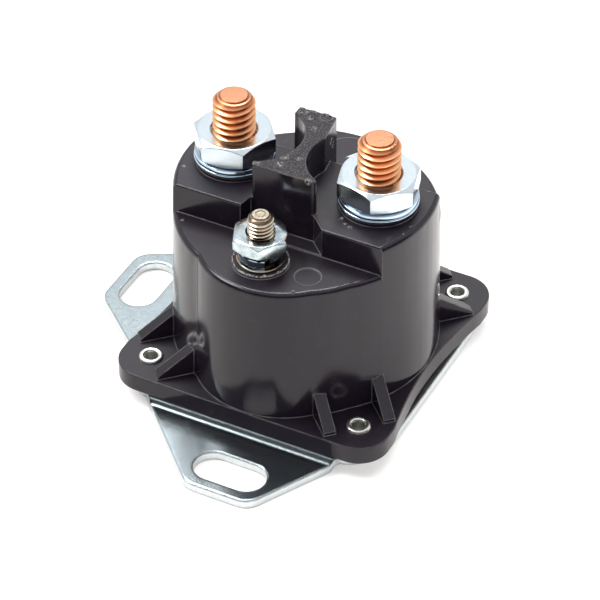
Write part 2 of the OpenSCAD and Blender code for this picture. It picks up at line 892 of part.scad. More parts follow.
// Copper winding between the bobbin's flanges
module coil_winding() {
    low = bobbin_low + bobbin_t;
    color(wire_copper)
        translate([0, 0, low])
            difference() {
                cylinder(h = bobbin_h - 2 * bobbin_t, r = winding_r);
                translate([0, 0, -overrun])
                    cylinder(h = bobbin_h + overrun, r = bobbin_hub_r);
            }
}

// Lead from the winding up to the control stud's head
module control_lead() {
    start = winding_r + seat_gap;
    bend_at = lead_y - lead_bend_r;
    color(wire_copper) {
        translate([0, -bend_at, lead_z])
            rotate([-90, 0, 0])
                cylinder(h = bend_at - start, r = lead_r, $fn = 24);
        translate([0, -bend_at, lead_z + lead_bend_r])
            rotate([0, -90, 0])
                rotate([0, 0, 180])
                    rotate_extrude(angle = 90)
                        translate([lead_bend_r, 0])
                            circle(lead_r, $fn = 24);
        translate([0, -lead_y, lead_z + lead_bend_r])
            cylinder(
                h = ceiling_z - control_head_h - lead_z - lead_bend_r, r = lead_r, $fn = 24
            );
    }
}

// Lead from the winding to the magnet frame, which is the switch's ground
module ground_lead() {
    start = winding_r + seat_gap;
    color(wire_copper)
        translate([-start, 0, ground_lead_z])
            rotate([0, -90, 0])
                cylinder(h = frame_w / 2 - strap_t - start, r = lead_r, $fn = 24);
}

// Brass sleeve that guides the plunger inside the bobbin
module guide_sleeve() {
    color(pale_brass)
        translate([0, 0, bobbin_low])
            difference() {
                cylinder(h = bobbin_h, r = sleeve_r + sleeve_t);
                translate([0, 0, -overrun])
                    cylinder(h = bobbin_h + 2 * overrun, r = sleeve_r);
            }
}

// Fixed core: hangs from the flux plate into the top of the sleeve
module fixed_core() {
    color(steel)
        rotate_extrude()
            polygon([
                [spring_pocket_r + pocket_lead_in, core_low], [slide_r, core_low],
                [slide_r, flux_top], [core_collar_r, flux_top], [core_collar_r, core_top],
                [rod_hole_r, core_top], [rod_hole_r, core_low + core_pocket],
                [spring_pocket_r, core_low + core_pocket],
                [spring_pocket_r, core_low + pocket_lead_in]
            ]);
}

// Steel plunger with a pocket for the return spring and a bore for the push rod
module plunger() {
    color(steel)
        rotate_extrude()
            polygon([
                [rod_r + seat_gap, rod_low], [0, rod_low], [0, bobbin_low],
                [slide_r - pocket_lead_in, bobbin_low], [slide_r, bobbin_low + pocket_lead_in],
                [slide_r, plunger_top], [spring_pocket_r + pocket_lead_in, plunger_top],
                [spring_pocket_r, plunger_top - pocket_lead_in],
                [spring_pocket_r, plunger_top - plunger_pocket],
                [rod_r + seat_gap, plunger_top - plunger_pocket]
            ]);
}

// Push rod with the shoulder that carries the contact spring and a groove for its clip
module push_rod() {
    color(steel)
        rotate_extrude()
            polygon([
                [0, rod_low], [rod_r, rod_low], [rod_r, shoulder_z], [shoulder_r, shoulder_z],
                [shoulder_r, shoulder_z + shoulder_h], [rod_r, shoulder_z + shoulder_h],
                [rod_r, clip_low], [clip_groove_r, clip_low], [clip_groove_r, clip_low + clip_t],
                [rod_r, clip_low + clip_t], [rod_r, rod_top], [0, rod_top]
            ]);
}

// Round wire section of a coil spring
function wire_section(r) = [for (k = [0 : wire_sides - 1])
    let (a = 360 * k / wire_sides)
    [r * cos(a), r * sin(a)]
];

// Coil spring that fills the space from z_low to z_high
module coil_spring(mean_r, wire_r, turns, z_low, z_high) {
    // the section's corners lie on its sides, so its flats face the seats
    half_h = wire_r * sin(60);
    color(steel)
        translate([0, 0, z_low + half_h])
            helix_sweep(
                wire_section(wire_r), mean_r, 0, 360 * turns, z_high - z_low - 2 * half_h,
                turns * rings_per_turn
            );
}

// Spring that pushes the plunger away from the fixed core
module return_spring() {
    coil_spring(
        return_spring_r, spring_wire_r, return_spring_turns,
        plunger_top - plunger_pocket, core_low + core_pocket
    );
}

// Spring that presses the contact disc against the stud heads
module contact_spring() {
    coil_spring(
        contact_spring_r, spring_wire_r, contact_spring_turns, shoulder_z + shoulder_h, bushing_low
    );
}

// Copper disc that bridges the two stud heads
module contact_disc() {
    color(copper)
        translate([0, 0, disc_low])
            difference() {
                cylinder(h = disc_t, r = disc_r);
                translate([0, 0, -overrun])
                    cylinder(h = disc_t + 2 * overrun, r = bushing_hub_r + seat_gap);
            }
}

// Insulating bushing between the disc and the push rod
module contact_bushing() {
    color(nylon)
        rotate_extrude()
            polygon([
                [rod_hole_r, bushing_low], [bushing_r, bushing_low], [bushing_r, disc_low],
                [bushing_hub_r, disc_low], [bushing_hub_r, disc_top], [rod_hole_r, disc_top]
            ]);
}

// Insulating washer on top of the disc
module contact_cap_washer() {
    color(nylon)
        translate([0, 0, disc_top])
            difference() {
                cylinder(h = cap_washer_t, r = bushing_r);
                translate([0, 0, -overrun])
                    cylinder(h = cap_washer_t + 2 * overrun, r = rod_hole_r);
            }
}

// Open retaining clip in the push rod's groove
module rod_clip() {
    mouth = 1.6 * clip_groove_r;
    color(steel)
        translate([0, 0, clip_low])
            difference() {
                cylinder(h = clip_t, r = clip_r);
                translate([0, 0, -overrun])
                    cylinder(h = clip_t + 2 * overrun, r = clip_groove_r + seat_gap);
                translate([-mouth / 2, 0, -overrun])
                    cube([mouth, clip_r + overrun, clip_t + 2 * overrun]);
            }
}

housing();
mounting_bracket();
base_gasket();
rivet([-1, -1]);  // rivet_front_left
rivet([1, -1]);  // rivet_front_right
rivet([1, 1]);  // rivet_back_right
rivet([-1, 1]);  // rivet_back_left
copper_stud(-stud_x);  // stud_left
copper_stud(stud_x);  // stud_right
stud_nut(-stud_x, nut_angle_left);  // stud_nut_left
stud_nut(stud_x, nut_angle_right);  // stud_nut_right
spring_washer(-stud_x);  // spring_washer_left
spring_washer(stud_x);  // spring_washer_right
flat_washer(-stud_x);  // flat_washer_left
flat_washer(stud_x);  // flat_washer_right
control_stud();
control_nut();
control_lock_washer();
control_flat_washer();
magnet_frame();
flux_plate();
bobbin();
coil_winding();
control_lead();
ground_lead();
guide_sleeve();
fixed_core();
plunger();
push_rod();
return_spring();
contact_disc();
contact_bushing();
contact_cap_washer();
contact_spring();
rod_clip();
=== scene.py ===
"""Solenoid switch: the visual model, dressed round its CAD frame.

Everything is in metres in the row frame: the plunger's axis is +Z, the line of the copper
studs is +X, and the control stud and the front wing lie towards -Y. Sizes in the classes
below are millimetres, and MM turns them into metres. Only the lamps and the studio's floor,
glow, screen and clipping are given in metres.
"""
import logging
import math
from contextlib import contextmanager
from dataclasses import dataclass, field
from enum import Enum
from typing import Callable, Iterator, Sequence

import bmesh
import bpy
from mathutils import Matrix, Vector


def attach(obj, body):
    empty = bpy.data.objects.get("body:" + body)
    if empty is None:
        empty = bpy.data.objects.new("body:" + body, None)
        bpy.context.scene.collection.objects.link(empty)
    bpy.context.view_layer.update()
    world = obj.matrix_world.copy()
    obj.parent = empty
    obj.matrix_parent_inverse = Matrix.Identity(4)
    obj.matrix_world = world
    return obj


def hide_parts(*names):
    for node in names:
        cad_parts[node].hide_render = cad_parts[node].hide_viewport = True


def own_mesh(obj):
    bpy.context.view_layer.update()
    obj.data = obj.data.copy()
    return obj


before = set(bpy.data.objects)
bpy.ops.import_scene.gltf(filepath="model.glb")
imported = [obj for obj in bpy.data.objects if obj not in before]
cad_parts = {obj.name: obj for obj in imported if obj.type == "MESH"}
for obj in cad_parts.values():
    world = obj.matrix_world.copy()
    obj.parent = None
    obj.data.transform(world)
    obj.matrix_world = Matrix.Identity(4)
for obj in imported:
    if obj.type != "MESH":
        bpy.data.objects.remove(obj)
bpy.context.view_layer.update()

MM = 0.001
TAU = 2 * math.pi
UP = (0.0, 0.0, 1.0)
log = logging.getLogger("solenoid_switch")

Point2 = tuple[float, float]
Point3 = tuple[float, float, float]
Colour = tuple[float, float, float]
# a place and a radius there, in millimetres
Spot = tuple[float, float, float, float]

# sizes that several pieces share, in millimetres
FLANGE_TOP = 7.1
RIVET_AT = 21.4
STUD_X = 14.57

# vertices closer than these many millimetres are one, in a turned, a swept and a copied mesh
TURNED_WELD = 0.0002
SWEPT_WELD = 0.001
COPIED_WELD = 0.002
# faces of a copied mesh that lean less than this are one flat
FLAT_LEAN = math.radians(0.4)
# an edge that turns by more than this is sharp
SHARP_TURN = math.radians(30)
# how far a thread runs past its stud's top, and the tool that trims it below the thread, in millimetres
THREAD_SPARE = 0.5
TRIM_SPARE = 1.0


class Merge(Enum):
    """Ways in which one closed solid changes another."""

    ADD = "UNION"
    CUT = "DIFFERENCE"
    KEEP_COMMON = "INTERSECT"


class Body(Enum):
    """Rigid bodies that the pieces made here ride on."""

    BASE = "base"
    PLUNGER = "plunger_group"


# modelling bench


class Bench:
    """Modelling steps on one mesh object at a time."""

    @staticmethod
    def only(obj: bpy.types.Object) -> None:
        """Makes obj the only selected object and the active one."""
        if bpy.context.mode != "OBJECT":
            bpy.ops.object.mode_set(mode="OBJECT")
        bpy.ops.object.select_all(action="DESELECT")
        obj.select_set(True)
        bpy.context.view_layer.objects.active = obj

    @staticmethod
    @contextmanager
    def editing(obj: bpy.types.Object) -> Iterator[None]:
        """Opens obj in edit mode with nothing selected, and closes it afterwards."""
        Bench.only(obj)
        bpy.ops.object.mode_set(mode="EDIT")
        bpy.ops.mesh.select_mode(type="VERT")
        bpy.ops.mesh.select_all(action="DESELECT")
        yield
        bpy.ops.object.mode_set(mode="OBJECT")

    @staticmethod
    def round_edges(
        obj: bpy.types.Object, width: float, test: Callable[[Vector], bool], merge: float = 0.0,
    ) -> int:
        """Rounds the sharp outer edges whose middle passes a test, and leaves inner corners alone.

        Args:
            obj: object to round, in object mode.
            width: size of the rounding in millimetres.
            test: takes the middle of an edge in millimetres.
            merge: vertices of these edges closer than this many millimetres become one first.

        Returns:
            How many edges were rounded.
        """
        count = 0
        with Bench.editing(obj):
            bpy.ops.mesh.select_mode(type="EDGE")
            for step in ("merge", "round"):
                bpy.ops.mesh.select_all(action="DESELECT")
                mesh = bmesh.from_edit_mesh(obj.data)
                chosen = [
                    edge for edge in mesh.edges
                    if len(edge.link_faces) == 2 and edge.calc_face_angle_signed(0.0) > SHARP_TURN
                    and test((edge.verts[0].co + edge.verts[1].co) / (2 * MM))
                ]
                for edge in chosen:
                    edge.select_set(True)
                bmesh.update_edit_mesh(obj.data)
                count = len(chosen)
                if not count:
                    break
                if step == "merge" and merge:
                    bpy.ops.mesh.remove_doubles(threshold=merge * MM)
                elif step == "round":
                    bpy.ops.mesh.bevel(
                        offset=width * MM, offset_type="OFFSET", segments=3, affect="EDGES",
                        clamp_overlap=True, miter_outer="ARC",
                    )
        return count

    @staticmethod
    def modify(obj: bpy.types.Object, kind: str, **settings: object) -> None:
        """Adds a modifier with these settings and applies it."""
        Bench.only(obj)
        bpy.ops.object.modifier_add(type=kind)
        modifier = obj.modifiers[-1]
        for name, value in settings.items():
            setattr(modifier, name, value)
        bpy.ops.object.modifier_apply(modifier=modifier.name)

    @staticmethod
    def combine(obj: bpy.types.Object, tool: bpy.types.Object, how: Merge) -> None:
        """Merges, cuts or intersects obj with a tool, which is used up."""
        Bench.modify(obj, "BOOLEAN", operation=how.value, object=tool, solver="EXACT")
        bpy.data.objects.remove(tool, do_unlink=True)

    @staticmethod
    def outline(name: str, points: Sequence[Point2], closed: bool) -> bpy.types.Object:
        """Draws a profile in the XZ plane by extruding a single vertex from point to point.

        Args:
            name: name of the new object.
            points: (radius, height) pairs in millimetres.
            closed: whether the last point is joined to the first.

        Returns:
            The new object, a chain of edges.
        """
        bpy.ops.object.select_all(action="DESELECT")
        bpy.ops.mesh.primitive_plane_add(size=MM)
        obj = bpy.context.active_object
        obj.name = name
        with Bench.editing(obj):
            bpy.ops.mesh.select_all(action="SELECT")
            bpy.ops.mesh.merge(type="CENTER")
            start = points[0]
            bpy.ops.transform.translate(value=(start[0] * MM, 0, start[1] * MM))
            for here, there in zip(points, points[1:]):
                step = ((there[0] - here[0]) * MM, 0, (there[1] - here[1]) * MM)
                bpy.ops.mesh.extrude_region_move(TRANSFORM_OT_translate={"value": step})
            if closed:
                mesh = bmesh.from_edit_mesh(obj.data)
                mesh.verts.ensure_lookup_table()
                for vertex in mesh.verts:
                    vertex.select_set(vertex.index in (0, len(points) - 1))
                bmesh.update_edit_mesh(obj.data)
                bpy.ops.mesh.edge_face_add()
        return obj

    @staticmethod
    def lathe(name: str, points: Sequence[Point2], steps: int, closed: bool = False) -> bpy.types.Object:
        """Turns a profile round the Z axis into a closed solid.

        Args:
            name: name of the new object.
            points: (radius, height) pairs in millimetres.
            steps: faces round the axis.
            closed: False for a profile that starts and ends on the axis.

        Returns:
            The new object, about the origin's own Z axis.
        """
        obj = Bench.outline(name, points, closed)
        with Bench.editing(obj):
            bpy.ops.mesh.select_all(action="SELECT")
            bpy.ops.mesh.spin(steps=steps, angle=TAU, center=(0, 0, 0), axis=UP)
            bpy.ops.mesh.select_all(action="SELECT")
            bpy.ops.mesh.remove_doubles(threshold=TURNED_WELD * MM)
            bpy.ops.mesh.normals_make_consistent(inside=False)
        return obj

    @staticmethod
    def place(obj: bpy.types.Object, x: float, y: float, turn: float = 0.0) -> bpy.types.Object:
        """Moves a finished mesh to its place, turned round Z in degrees, with its origin kept at zero."""
        obj.rotation_euler = (0, 0, math.radians(turn))
        obj.location = (x * MM, y * MM, 0)
        Bench.settle(obj)
        return obj

    @staticmethod
    def settle(obj: bpy.types.Object) -> None:
        """Moves an object's place and turn into its mesh."""
        Bench.only(obj)
        bpy.ops.object.transform_apply(location=True, rotation=True, scale=True)

    @staticmethod
    def from_cad(node: str, name: str) -> bpy.types.Object:
        """Copies a CAD node into a new object with its triangles merged into clean faces.

        Args:
            node: name of the CAD node.
            name: name of the new object.

        Returns:
            The copy, at the same place.
        """
        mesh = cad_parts[node].data.copy()
        mesh.materials.clear()
        obj = bpy.data.objects.new(name, mesh)
        bpy.context.scene.collection.objects.link(obj)
        with Bench.editing(obj):
            bpy.ops.mesh.select_all(action="SELECT")
            bpy.ops.mesh.remove_doubles(threshold=COPIED_WELD * MM)
            bpy.ops.mesh.select_all(action="SELECT")
            bpy.ops.mesh.dissolve_limited(angle_limit=FLAT_LEAN)
        return obj

    @staticmethod
    def soften(obj: bpy.types.Object, width: float, angle: float, segments: int = 2) -> None:
        """Rounds every edge sharper than an angle, as wear or the mould rounds an edge."""
        Bench.modify(
            obj, "BEVEL", width=width * MM, segments=segments, limit_method="ANGLE",
            angle_limit=math.radians(angle), use_clamp_overlap=True, miter_outer="MITER_ARC",
        )

    @staticmethod
    def shade(obj: bpy.types.Object, angle: float, weighted: bool = True) -> None:
        """Shades obj smooth up to an angle; weighted normals keep its flats flat."""
        Bench.only(obj)
        bpy.ops.object.shade_smooth_by_angle(angle=math.radians(angle))
        if weighted:
            Bench.modify(obj, "WEIGHTED_NORMAL", keep_sharp=True)

    @staticmethod
    def dress(
        obj: bpy.types.Object, finish: "Finish", slot: str, body: Body, stands_for: Sequence[str] = (),
    ) -> bpy.types.Object:
        """Gives a finished piece its material, its body and the CAD nodes that it stands for.

        Args:
            obj: the finished piece.
            finish: what it is made of.
            slot: the record's material slot; not used.
            body: the body that it moves with.
            stands_for: CAD nodes that it replaces.

        Returns:
            The piece.
        """
        obj.data.materials.clear()
        obj.data.materials.append(finish.material())
        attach(obj, body.value)
        if stands_for:
            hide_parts(*stands_for)
        log.info("%s: %d faces, %s", obj.name, len(obj.data.polygons), finish.name)
        return obj


# finishes


class Graph:
    """Short way to write shader nodes."""

    def __init__(self, tree: bpy.types.NodeTree) -> None:
        """Starts to write in this node tree."""
        self.nodes = tree.nodes
        self.links = tree.links

    def add(self, kind: str, **settings: object) -> bpy.types.Node:
        """Adds a node with these settings."""
        node = self.nodes.new(kind)
        for name, value in settings.items():
            setattr(node, name, value)
        return node

    def put(self, socket: bpy.types.NodeSocket, value: object) -> None:
        """Links an output to a socket, or sets the socket's own value."""
        if isinstance(value, bpy.types.NodeSocket):
            self.links.new(value, socket)
        else:
            socket.default_value = value

    def math(self, how: str, a: object, b: object = 0.0, clamp: bool = False) -> bpy.types.NodeSocket:
        """Arithmetic on two values."""
        node = self.add("ShaderNodeMath", operation=how, use_clamp=clamp)
        self.put(node.inputs[0], a)
        self.put(node.inputs[1], b)
        return node.outputs[0]

    def times(self, a: object, b: object) -> bpy.types.NodeSocket:
        """The product of two values."""
        return self.math("MULTIPLY", a, b)

    def remap(
        self, value: object, low: float, high: float, to_low: float = 0.0, to_high: float = 1.0,
        how: str = "SMOOTHSTEP",
    ) -> bpy.types.NodeSocket:
        """Maps a value from one range to another, clamped, and eased unless how is LINEAR."""
        node = self.add("ShaderNodeMapRange", interpolation_type=how)
        self.put(node.inputs["Value"], value)
        for name, number in (("From Min", low), ("From Max", high), ("To Min", to_low), ("To Max", to_high)):
            node.inputs[name].default_value = number
        return node.outputs["Result"]


class Tree(Graph):
    """A material's nodes round its Principled shader."""

    spot_core_share = 0.4
    ring_core_share = 0.3

    def __init__(self, name: str) -> None:
        """Starts a material with a Principled shader."""
        self.material = bpy.data.materials.new(name)
        self.material.use_nodes = True
        super().__init__(self.material.node_tree)
        self.shader = self.nodes["Principled BSDF"]
        self.place = self.add("ShaderNodeTexCoord").outputs["Object"]

    def split(self, vector: bpy.types.NodeSocket) -> tuple[bpy.types.NodeSocket, ...]:
        """The three parts of a vector."""
        node = self.add("ShaderNodeSeparateXYZ")
        self.put(node.inputs[0], vector)
        return tuple(node.outputs)

    def stretched(self, scale: Point3) -> bpy.types.NodeSocket:
        """Object coordinates, stretched along the axes."""
        node = self.add("ShaderNodeMapping")
        self.put(node.inputs["Vector"], self.place)
        node.inputs["Scale"].default_value = scale
        return node.outputs["Vector"]

    def noise(
        self, size: float, detail: float = 3.0, rough: float = 0.55,
        vector: bpy.types.NodeSocket | None = None,
    ) -> bpy.types.NodeSocket:
        """Noise whose grains are about size millimetres across."""
        node = self.add("ShaderNodeTexNoise")
        self.put(node.inputs["Vector"], self.place if vector is None else vector)
        node.inputs["Scale"].default_value = 1 / (size * MM)
        node.inputs["Detail"].default_value = detail
        node.inputs["Roughness"].default_value = rough
        return node.outputs["Fac"]

    def blend(self, factor: object, a: object, b: object, how: str = "MIX") -> bpy.types.NodeSocket:
        """Mixes two colours."""
        node = self.add("ShaderNodeMix", data_type="RGBA", blend_type=how)
        self.put(node.inputs["Factor"], factor)
        for socket, value in ((node.inputs[6], a), (node.inputs[7], b)):
            self.put(socket, (*value, 1.0) if isinstance(value, tuple) else value)
        return node.outputs[2]

    def rounded(self, radius: float) -> bpy.types.NodeSocket:
        """The normal of the surface with its edges eased by this radius in millimetres."""
        node = self.add("ShaderNodeBevel", samples=6)
        node.inputs["Radius"].default_value = radius * MM
        return node.outputs["Normal"]

    def turned(self, eased: bpy.types.NodeSocket, flat: bpy.types.NodeSocket) -> bpy.types.NodeSocket:
        """How far the eased normal has turned from the flat one: 0 on a flat, 1 along an edge."""
        node = self.add("ShaderNodeVectorMath", operation="DOT_PRODUCT")
        self.put(node.inputs[0], eased)
        self.put(node.inputs[1], flat)
        return self.remap(node.outputs["Value"], 0.985, 0.86)

    def away(self, x: float, y: float, z: float) -> bpy.types.NodeSocket:
        """Distance in metres from a point given in millimetres."""
        node = self.add("ShaderNodeVectorMath", operation="DISTANCE")
        self.put(node.inputs[0], self.place)
        node.inputs[1].default_value = (x * MM, y * MM, z * MM)
        return node.outputs["Value"]

    def spots(self, places: Sequence[Spot]) -> bpy.types.NodeSocket:
        """1 near each place, given as x, y, z and radius in millimetres, and 0 elsewhere."""
        total: object = 0.0
        for x, y, z, radius in places:
            core = radius * self.spot_core_share
            total = self.math("MAXIMUM", total, self.remap(self.away(x, y, z), radius * MM, core * MM))
        return total

    def rings(self, places: Sequence[Spot], width: float) -> bpy.types.NodeSocket:
        """1 along a thin circle round each place, given as x, y, z and radius in millimetres."""
        total: object = 0.0
        for x, y, z, radius in places:
            off = self.math("ABSOLUTE", self.math("SUBTRACT", self.away(x, y, z), radius * MM))
            core = width * self.ring_core_share
            total = self.math("MAXIMUM", total, self.remap(off, width * MM, core * MM))
        return total

    def bump(
        self, layers: Sequence[tuple[bpy.types.NodeSocket, float]],
        normal: bpy.types.NodeSocket | None = None,
    ) -> None:
        """Stacks height layers, each with its depth in millimetres, on a normal or on the surface's own."""
        for height, depth in layers:
            node = self.add("ShaderNodeBump")
            node.inputs["Distance"].default_value = depth * MM
            node.inputs["Strength"].default_value = 1.0
            self.put(node.inputs["Height"], height)
            if normal is not None:
                self.put(node.inputs["Normal"], normal)
            normal = node.outputs["Normal"]
        self.put(self.shader.inputs["Normal"], normal)

    def set(self, **values: object) -> None:
        """Sets the shader's sockets; an underscore in a name stands for a space."""
        for name, value in values.items():
            socket = self.shader.inputs[name.replace("_", " ")]
            self.put(socket, (*value, 1.0) if isinstance(value, tuple) and len(value) == 3 else value)


@dataclass(frozen=True)
class Finish:
    """A finish: what a surface is made of and how it wears."""

    name: str

    def material(self) -> bpy.types.Material:
        """The Blender material of this finish, built once."""
        found = bpy.data.materials.get(self.name)
        return found if found else self.build()

    def build(self) -> bpy.types.Material:
        """Builds the material's nodes."""
        raise NotImplementedError


@dataclass(frozen=True)
class BlackMoulding(Finish):
    """Black thermoset straight from the mould: glossy drafted walls, satin level faces painted darker as
    painted shade, rough divider top, edges painted lighter, partly wear and partly painted highlight, and
    thin light rings as painted highlights.
    """

    colour: Colour = (0.0105, 0.0072, 0.0125)
    # the level faces are painted darker than the walls: painted shade
    level_painted_shade: Colour = (0.0045, 0.001, 0.006)
    level_painted_shade_share: float = 0.8
    dusty: Colour = (0.06, 0.055, 0.06)
    dust_share: float = 0.07
    scratch_share: float = 0.35
    scuff_share: float = 0.16
    # lighter grey of the edges and rings: partly wear, partly painted highlight
    worn_and_highlit: Colour = (0.2, 0.19, 0.195)
    edge_share: float = 0.8
    highlight_ring_share: float = 0.45
    speckle: Colour = (0.2, 0.19, 0.185)
    speckle_share: float = 0.75
    pale: Colour = (0.5, 0.48, 0.45)
    fleck_share: float = 0.65
    gloss_rough: float = 0.13
    satin_rough: float = 0.5
    cloud_rough: float = 0.06
    torn_rough: float = 0.2
    edge_r: float = 0.42
    torn_from: float = 48.3
    torn_ease: float = 0.3
    highlight_ring_width: float = 0.14
    seam_x: float = -10.8
    seam_span: Point2 = (-18.0, -20.0)
    seam_half: Point2 = (0.15, 0.05)
    seam_share: float = 0.6
    flecks: tuple[Spot, ...] = (
        (-2.4, -3.0, 48.75, 1.3), (-2.3, -4.6, 48.75, 1.2), (-2.1, -7.0, 48.75, 1.1), (0.5, -4.0, 48.75, 0.8),
        (-1.4, 5.4, 48.75, 0.9), (-5.3, 9.2, 48.75, 1.3), (-3.4, 8.0, 48.75, 0.8), (4.8, -8.9, 48.6, 1.0),
        (-5.8, -8.6, 48.6, 1.0), (1.9, 9.9, 47.5, 0.9), (0.9, 10.2, 45.5, 0.8), (9.0, -23.4, 35.3, 0.7),
        (22.4, -12.9, 40.2, 1.2), (21.2, 7.2, 41.2, 0.7), (-21.8, -6.6, 41.2, 0.6), (-18.2, -14.1, 35.2, 0.5),
        (10.6, -7.6, 41.4, 0.7), (11.8, -8.6, 41.4, 0.6), (13.2, -9.2, 41.4, 0.6), (22.7, -4.0, 41.2, 0.5),
        (22.4, -6.5, 41.2, 0.4), (1.3, 8.2, 47.0, 0.9), (1.2, 7.3, 45.4, 0.8), (1.1, 8.4, 43.9, 0.9),
    )
    # thin light rings along the rims of round marks: painted highlights
    highlight_rings: tuple[Spot, ...] = (
        (-0.92, 9.5, 48.75, 1.15), (9.4, -18.3, 35.3, 2.45), (0.0, 17.2, 35.3, 4.4),
    )

    def build(self) -> bpy.types.Material:
        """Builds the moulding's nodes."""
        t = Tree(self.name)
        x, y, height = t.split(t.place)
        flat = t.add("ShaderNodeNewGeometry").outputs["Normal"]
        eased = t.rounded(self.edge_r)
        edge = t.times(t.turned(eased, flat), t.remap(t.noise(2.2, 3.0), 0.3, 0.62, 0.35, 1.0))
        level = t.remap(t.split(flat)[2], 0.975, 0.998)
        torn = t.remap(height, self.torn_from * MM, (self.torn_from + self.torn_ease) * MM)
        top = t.times(level, torn)
        cloud = t.noise(7.0, 4.0)
        grain = t.noise(0.5, 4.0, 0.65)
        dust = t.times(t.remap(cloud, 0.45, 0.8), t.times(level, self.dust_share))
        # painted shade: the level faces are darkened
        colour = t.blend(t.times(level, self.level_painted_shade_share), self.colour, self.level_painted_shade)
        colour = t.blend(dust, colour, self.dusty)
        speck = t.times(t.remap(t.noise(0.28, 5.0, 0.75), 0.46, 0.7), top)
        colour = t.blend(t.times(speck, self.speckle_share), colour, self.speckle)
        scratch = t.noise(0.9, 3.0, 0.6, t.stretched((1.0, 0.12, 0.6)))
        marks = t.times(t.remap(scratch, 0.68, 0.78), t.times(level, self.scratch_share))
        colour = t.blend(marks, colour, self.dusty)
        scuff = t.remap(t.noise(3.2, 5.0, 0.7), 0.5, 0.8, 0.0, self.scuff_share)
        colour = t.blend(scuff, colour, self.dusty)
        # the edges are painted lighter: partly wear, partly painted highlight on the rounded edges
        colour = t.blend(t.times(edge, self.edge_share), colour, self.worn_and_highlit)
        # painted highlight: thin light rings along the rims of round marks
        ring = t.times(t.rings(self.highlight_rings, self.highlight_ring_width), self.highlight_ring_share)
        colour = t.blend(ring, colour, self.worn_and_highlit)
        beside = t.math("ABSOLUTE", t.math("SUBTRACT", x, self.seam_x * MM))
        wide, narrow = self.seam_half
        start, end = self.seam_span
        seam = t.times(t.remap(beside, wide * MM, narrow * MM), t.remap(y, start * MM, end * MM))
        seam = t.times(seam, t.math("SUBTRACT", 1.0, level))
        colour = t.blend(t.times(seam, self.seam_share), colour, self.colour)
        chips = t.remap(t.noise(0.5, 5.0, 0.8, t.stretched((1.0, 1.0, 0.45))), 0.48, 0.56)
        fleck = t.times(t.spots(self.flecks), chips)
        colour = t.blend(t.times(fleck, self.fleck_share), colour, self.pale)
        rough = t.math("ADD", self.gloss_rough, t.times(level, self.satin_rough - self.gloss_rough))
        rough = t.math("ADD", rough, t.times(t.remap(cloud, 0.35, 0.75), self.cloud_rough))
        rough = t.math("ADD", rough, t.times(top, self.torn_rough), clamp=True)
        t.set(Base_Color=colour, Roughness=rough, IOR=1.43)
        t.bump([
            (t.noise(9.0, 2.0), 0.035),
            (t.times(grain, t.math("ADD", t.times(level, 0.8), 0.2)), 0.006),
            (t.times(t.noise(0.4, 5.0, 0.7), top), 0.12),
            (fleck, 0.08),
            (seam, -0.1),
        ], eased)
        return t.material


@dataclass(frozen=True)
class Plated(Finish):
    """Plated or bare metal with a fine grain, a cloudy tone and sparkling crystals; where given, rounded rims
    are painted dark as painted shade, and steep sides are painted lighter as painted light over sheared
    streaks.
    """

    colour: Colour = (0.72, 0.79, 0.83)
    shade: Colour = (0.5, 0.58, 0.63)
    rough: float = 0.14
    rough_spread: float = 0.05
    cloud: float = 0.35
    grain: float = 0.3
    grain_depth: float = 0.003
    wave_depth: float = 0.01
    brush: Point3 = (1.0, 1.0, 1.0)
    speckle: float = 0.3
    edge_r: float = 0.0
    rim: float = 0.9
    rim_span: Point2 = (0.2, 0.63)
    rim_ease: float = 0.03
    painted_rim_shade: Colour | None = None
    sheared_and_lit_side: Colour | None = None

    def build(self) -> bpy.types.Material:
        """Builds the metal's nodes."""
        t = Tree(self.name)
        cloud = t.noise(3.5, 4.0, 0.6)
        brushed = t.noise(self.grain, 3.0, 0.6, t.stretched(self.brush))
        colour = t.blend(t.remap(cloud, 0.35, 0.7, 0.0, self.cloud), self.colour, self.shade)
        specks = t.times(t.remap(t.noise(0.2, 2.0, 0.6), 0.52, 0.66), self.speckle)
        colour = t.blend(specks, colour, self.shade)
        # steep sides are painted lighter, as painted light, with streaks as a sheared edge has
        if self.sheared_and_lit_side:
            lean = t.math("ABSOLUTE", t.split(t.add("ShaderNodeNewGeometry").outputs["Normal"])[2])
            streak = t.noise(0.5, 3.0, 0.6, t.stretched((1.0, 1.0, 0.15)))
            sheared_and_lit_tone = t.blend(t.remap(streak, 0.35, 0.65, 0.0, 0.3), self.sheared_and_lit_side, self.colour)
            colour = t.blend(t.remap(lean, 0.5, 0.2), colour, sheared_and_lit_tone)
        eased = t.rounded(self.edge_r) if self.edge_r else None
        # painted shade: a dark line along rounded rims, where they would mirror dark surroundings
        if self.painted_rim_shade:
            broken = t.remap(t.noise(0.8, 4.0, 0.6), 0.36, 0.5, 0.4, 1.0)
            up = t.split(t.rounded(self.rim))[2]
            (low, high), ease = self.rim_span, self.rim_ease
            edge = t.times(t.remap(up, high + ease, high - ease), t.remap(up, low - ease, low + ease))
            colour = t.blend(t.times(edge, broken), colour, self.painted_rim_shade)
        rough = t.math("ADD", self.rough, t.times(t.remap(cloud, 0.3, 0.75), self.rough_spread))
        rough = t.math("ADD", rough, t.times(brushed, self.rough_spread), clamp=True)
        t.set(Base_Color=colour, Roughness=rough, Metallic=1.0)
        t.bump([(t.noise(4.5, 2.0), self.wave_depth), (brushed, self.grain_depth)], eased)
        return t.material


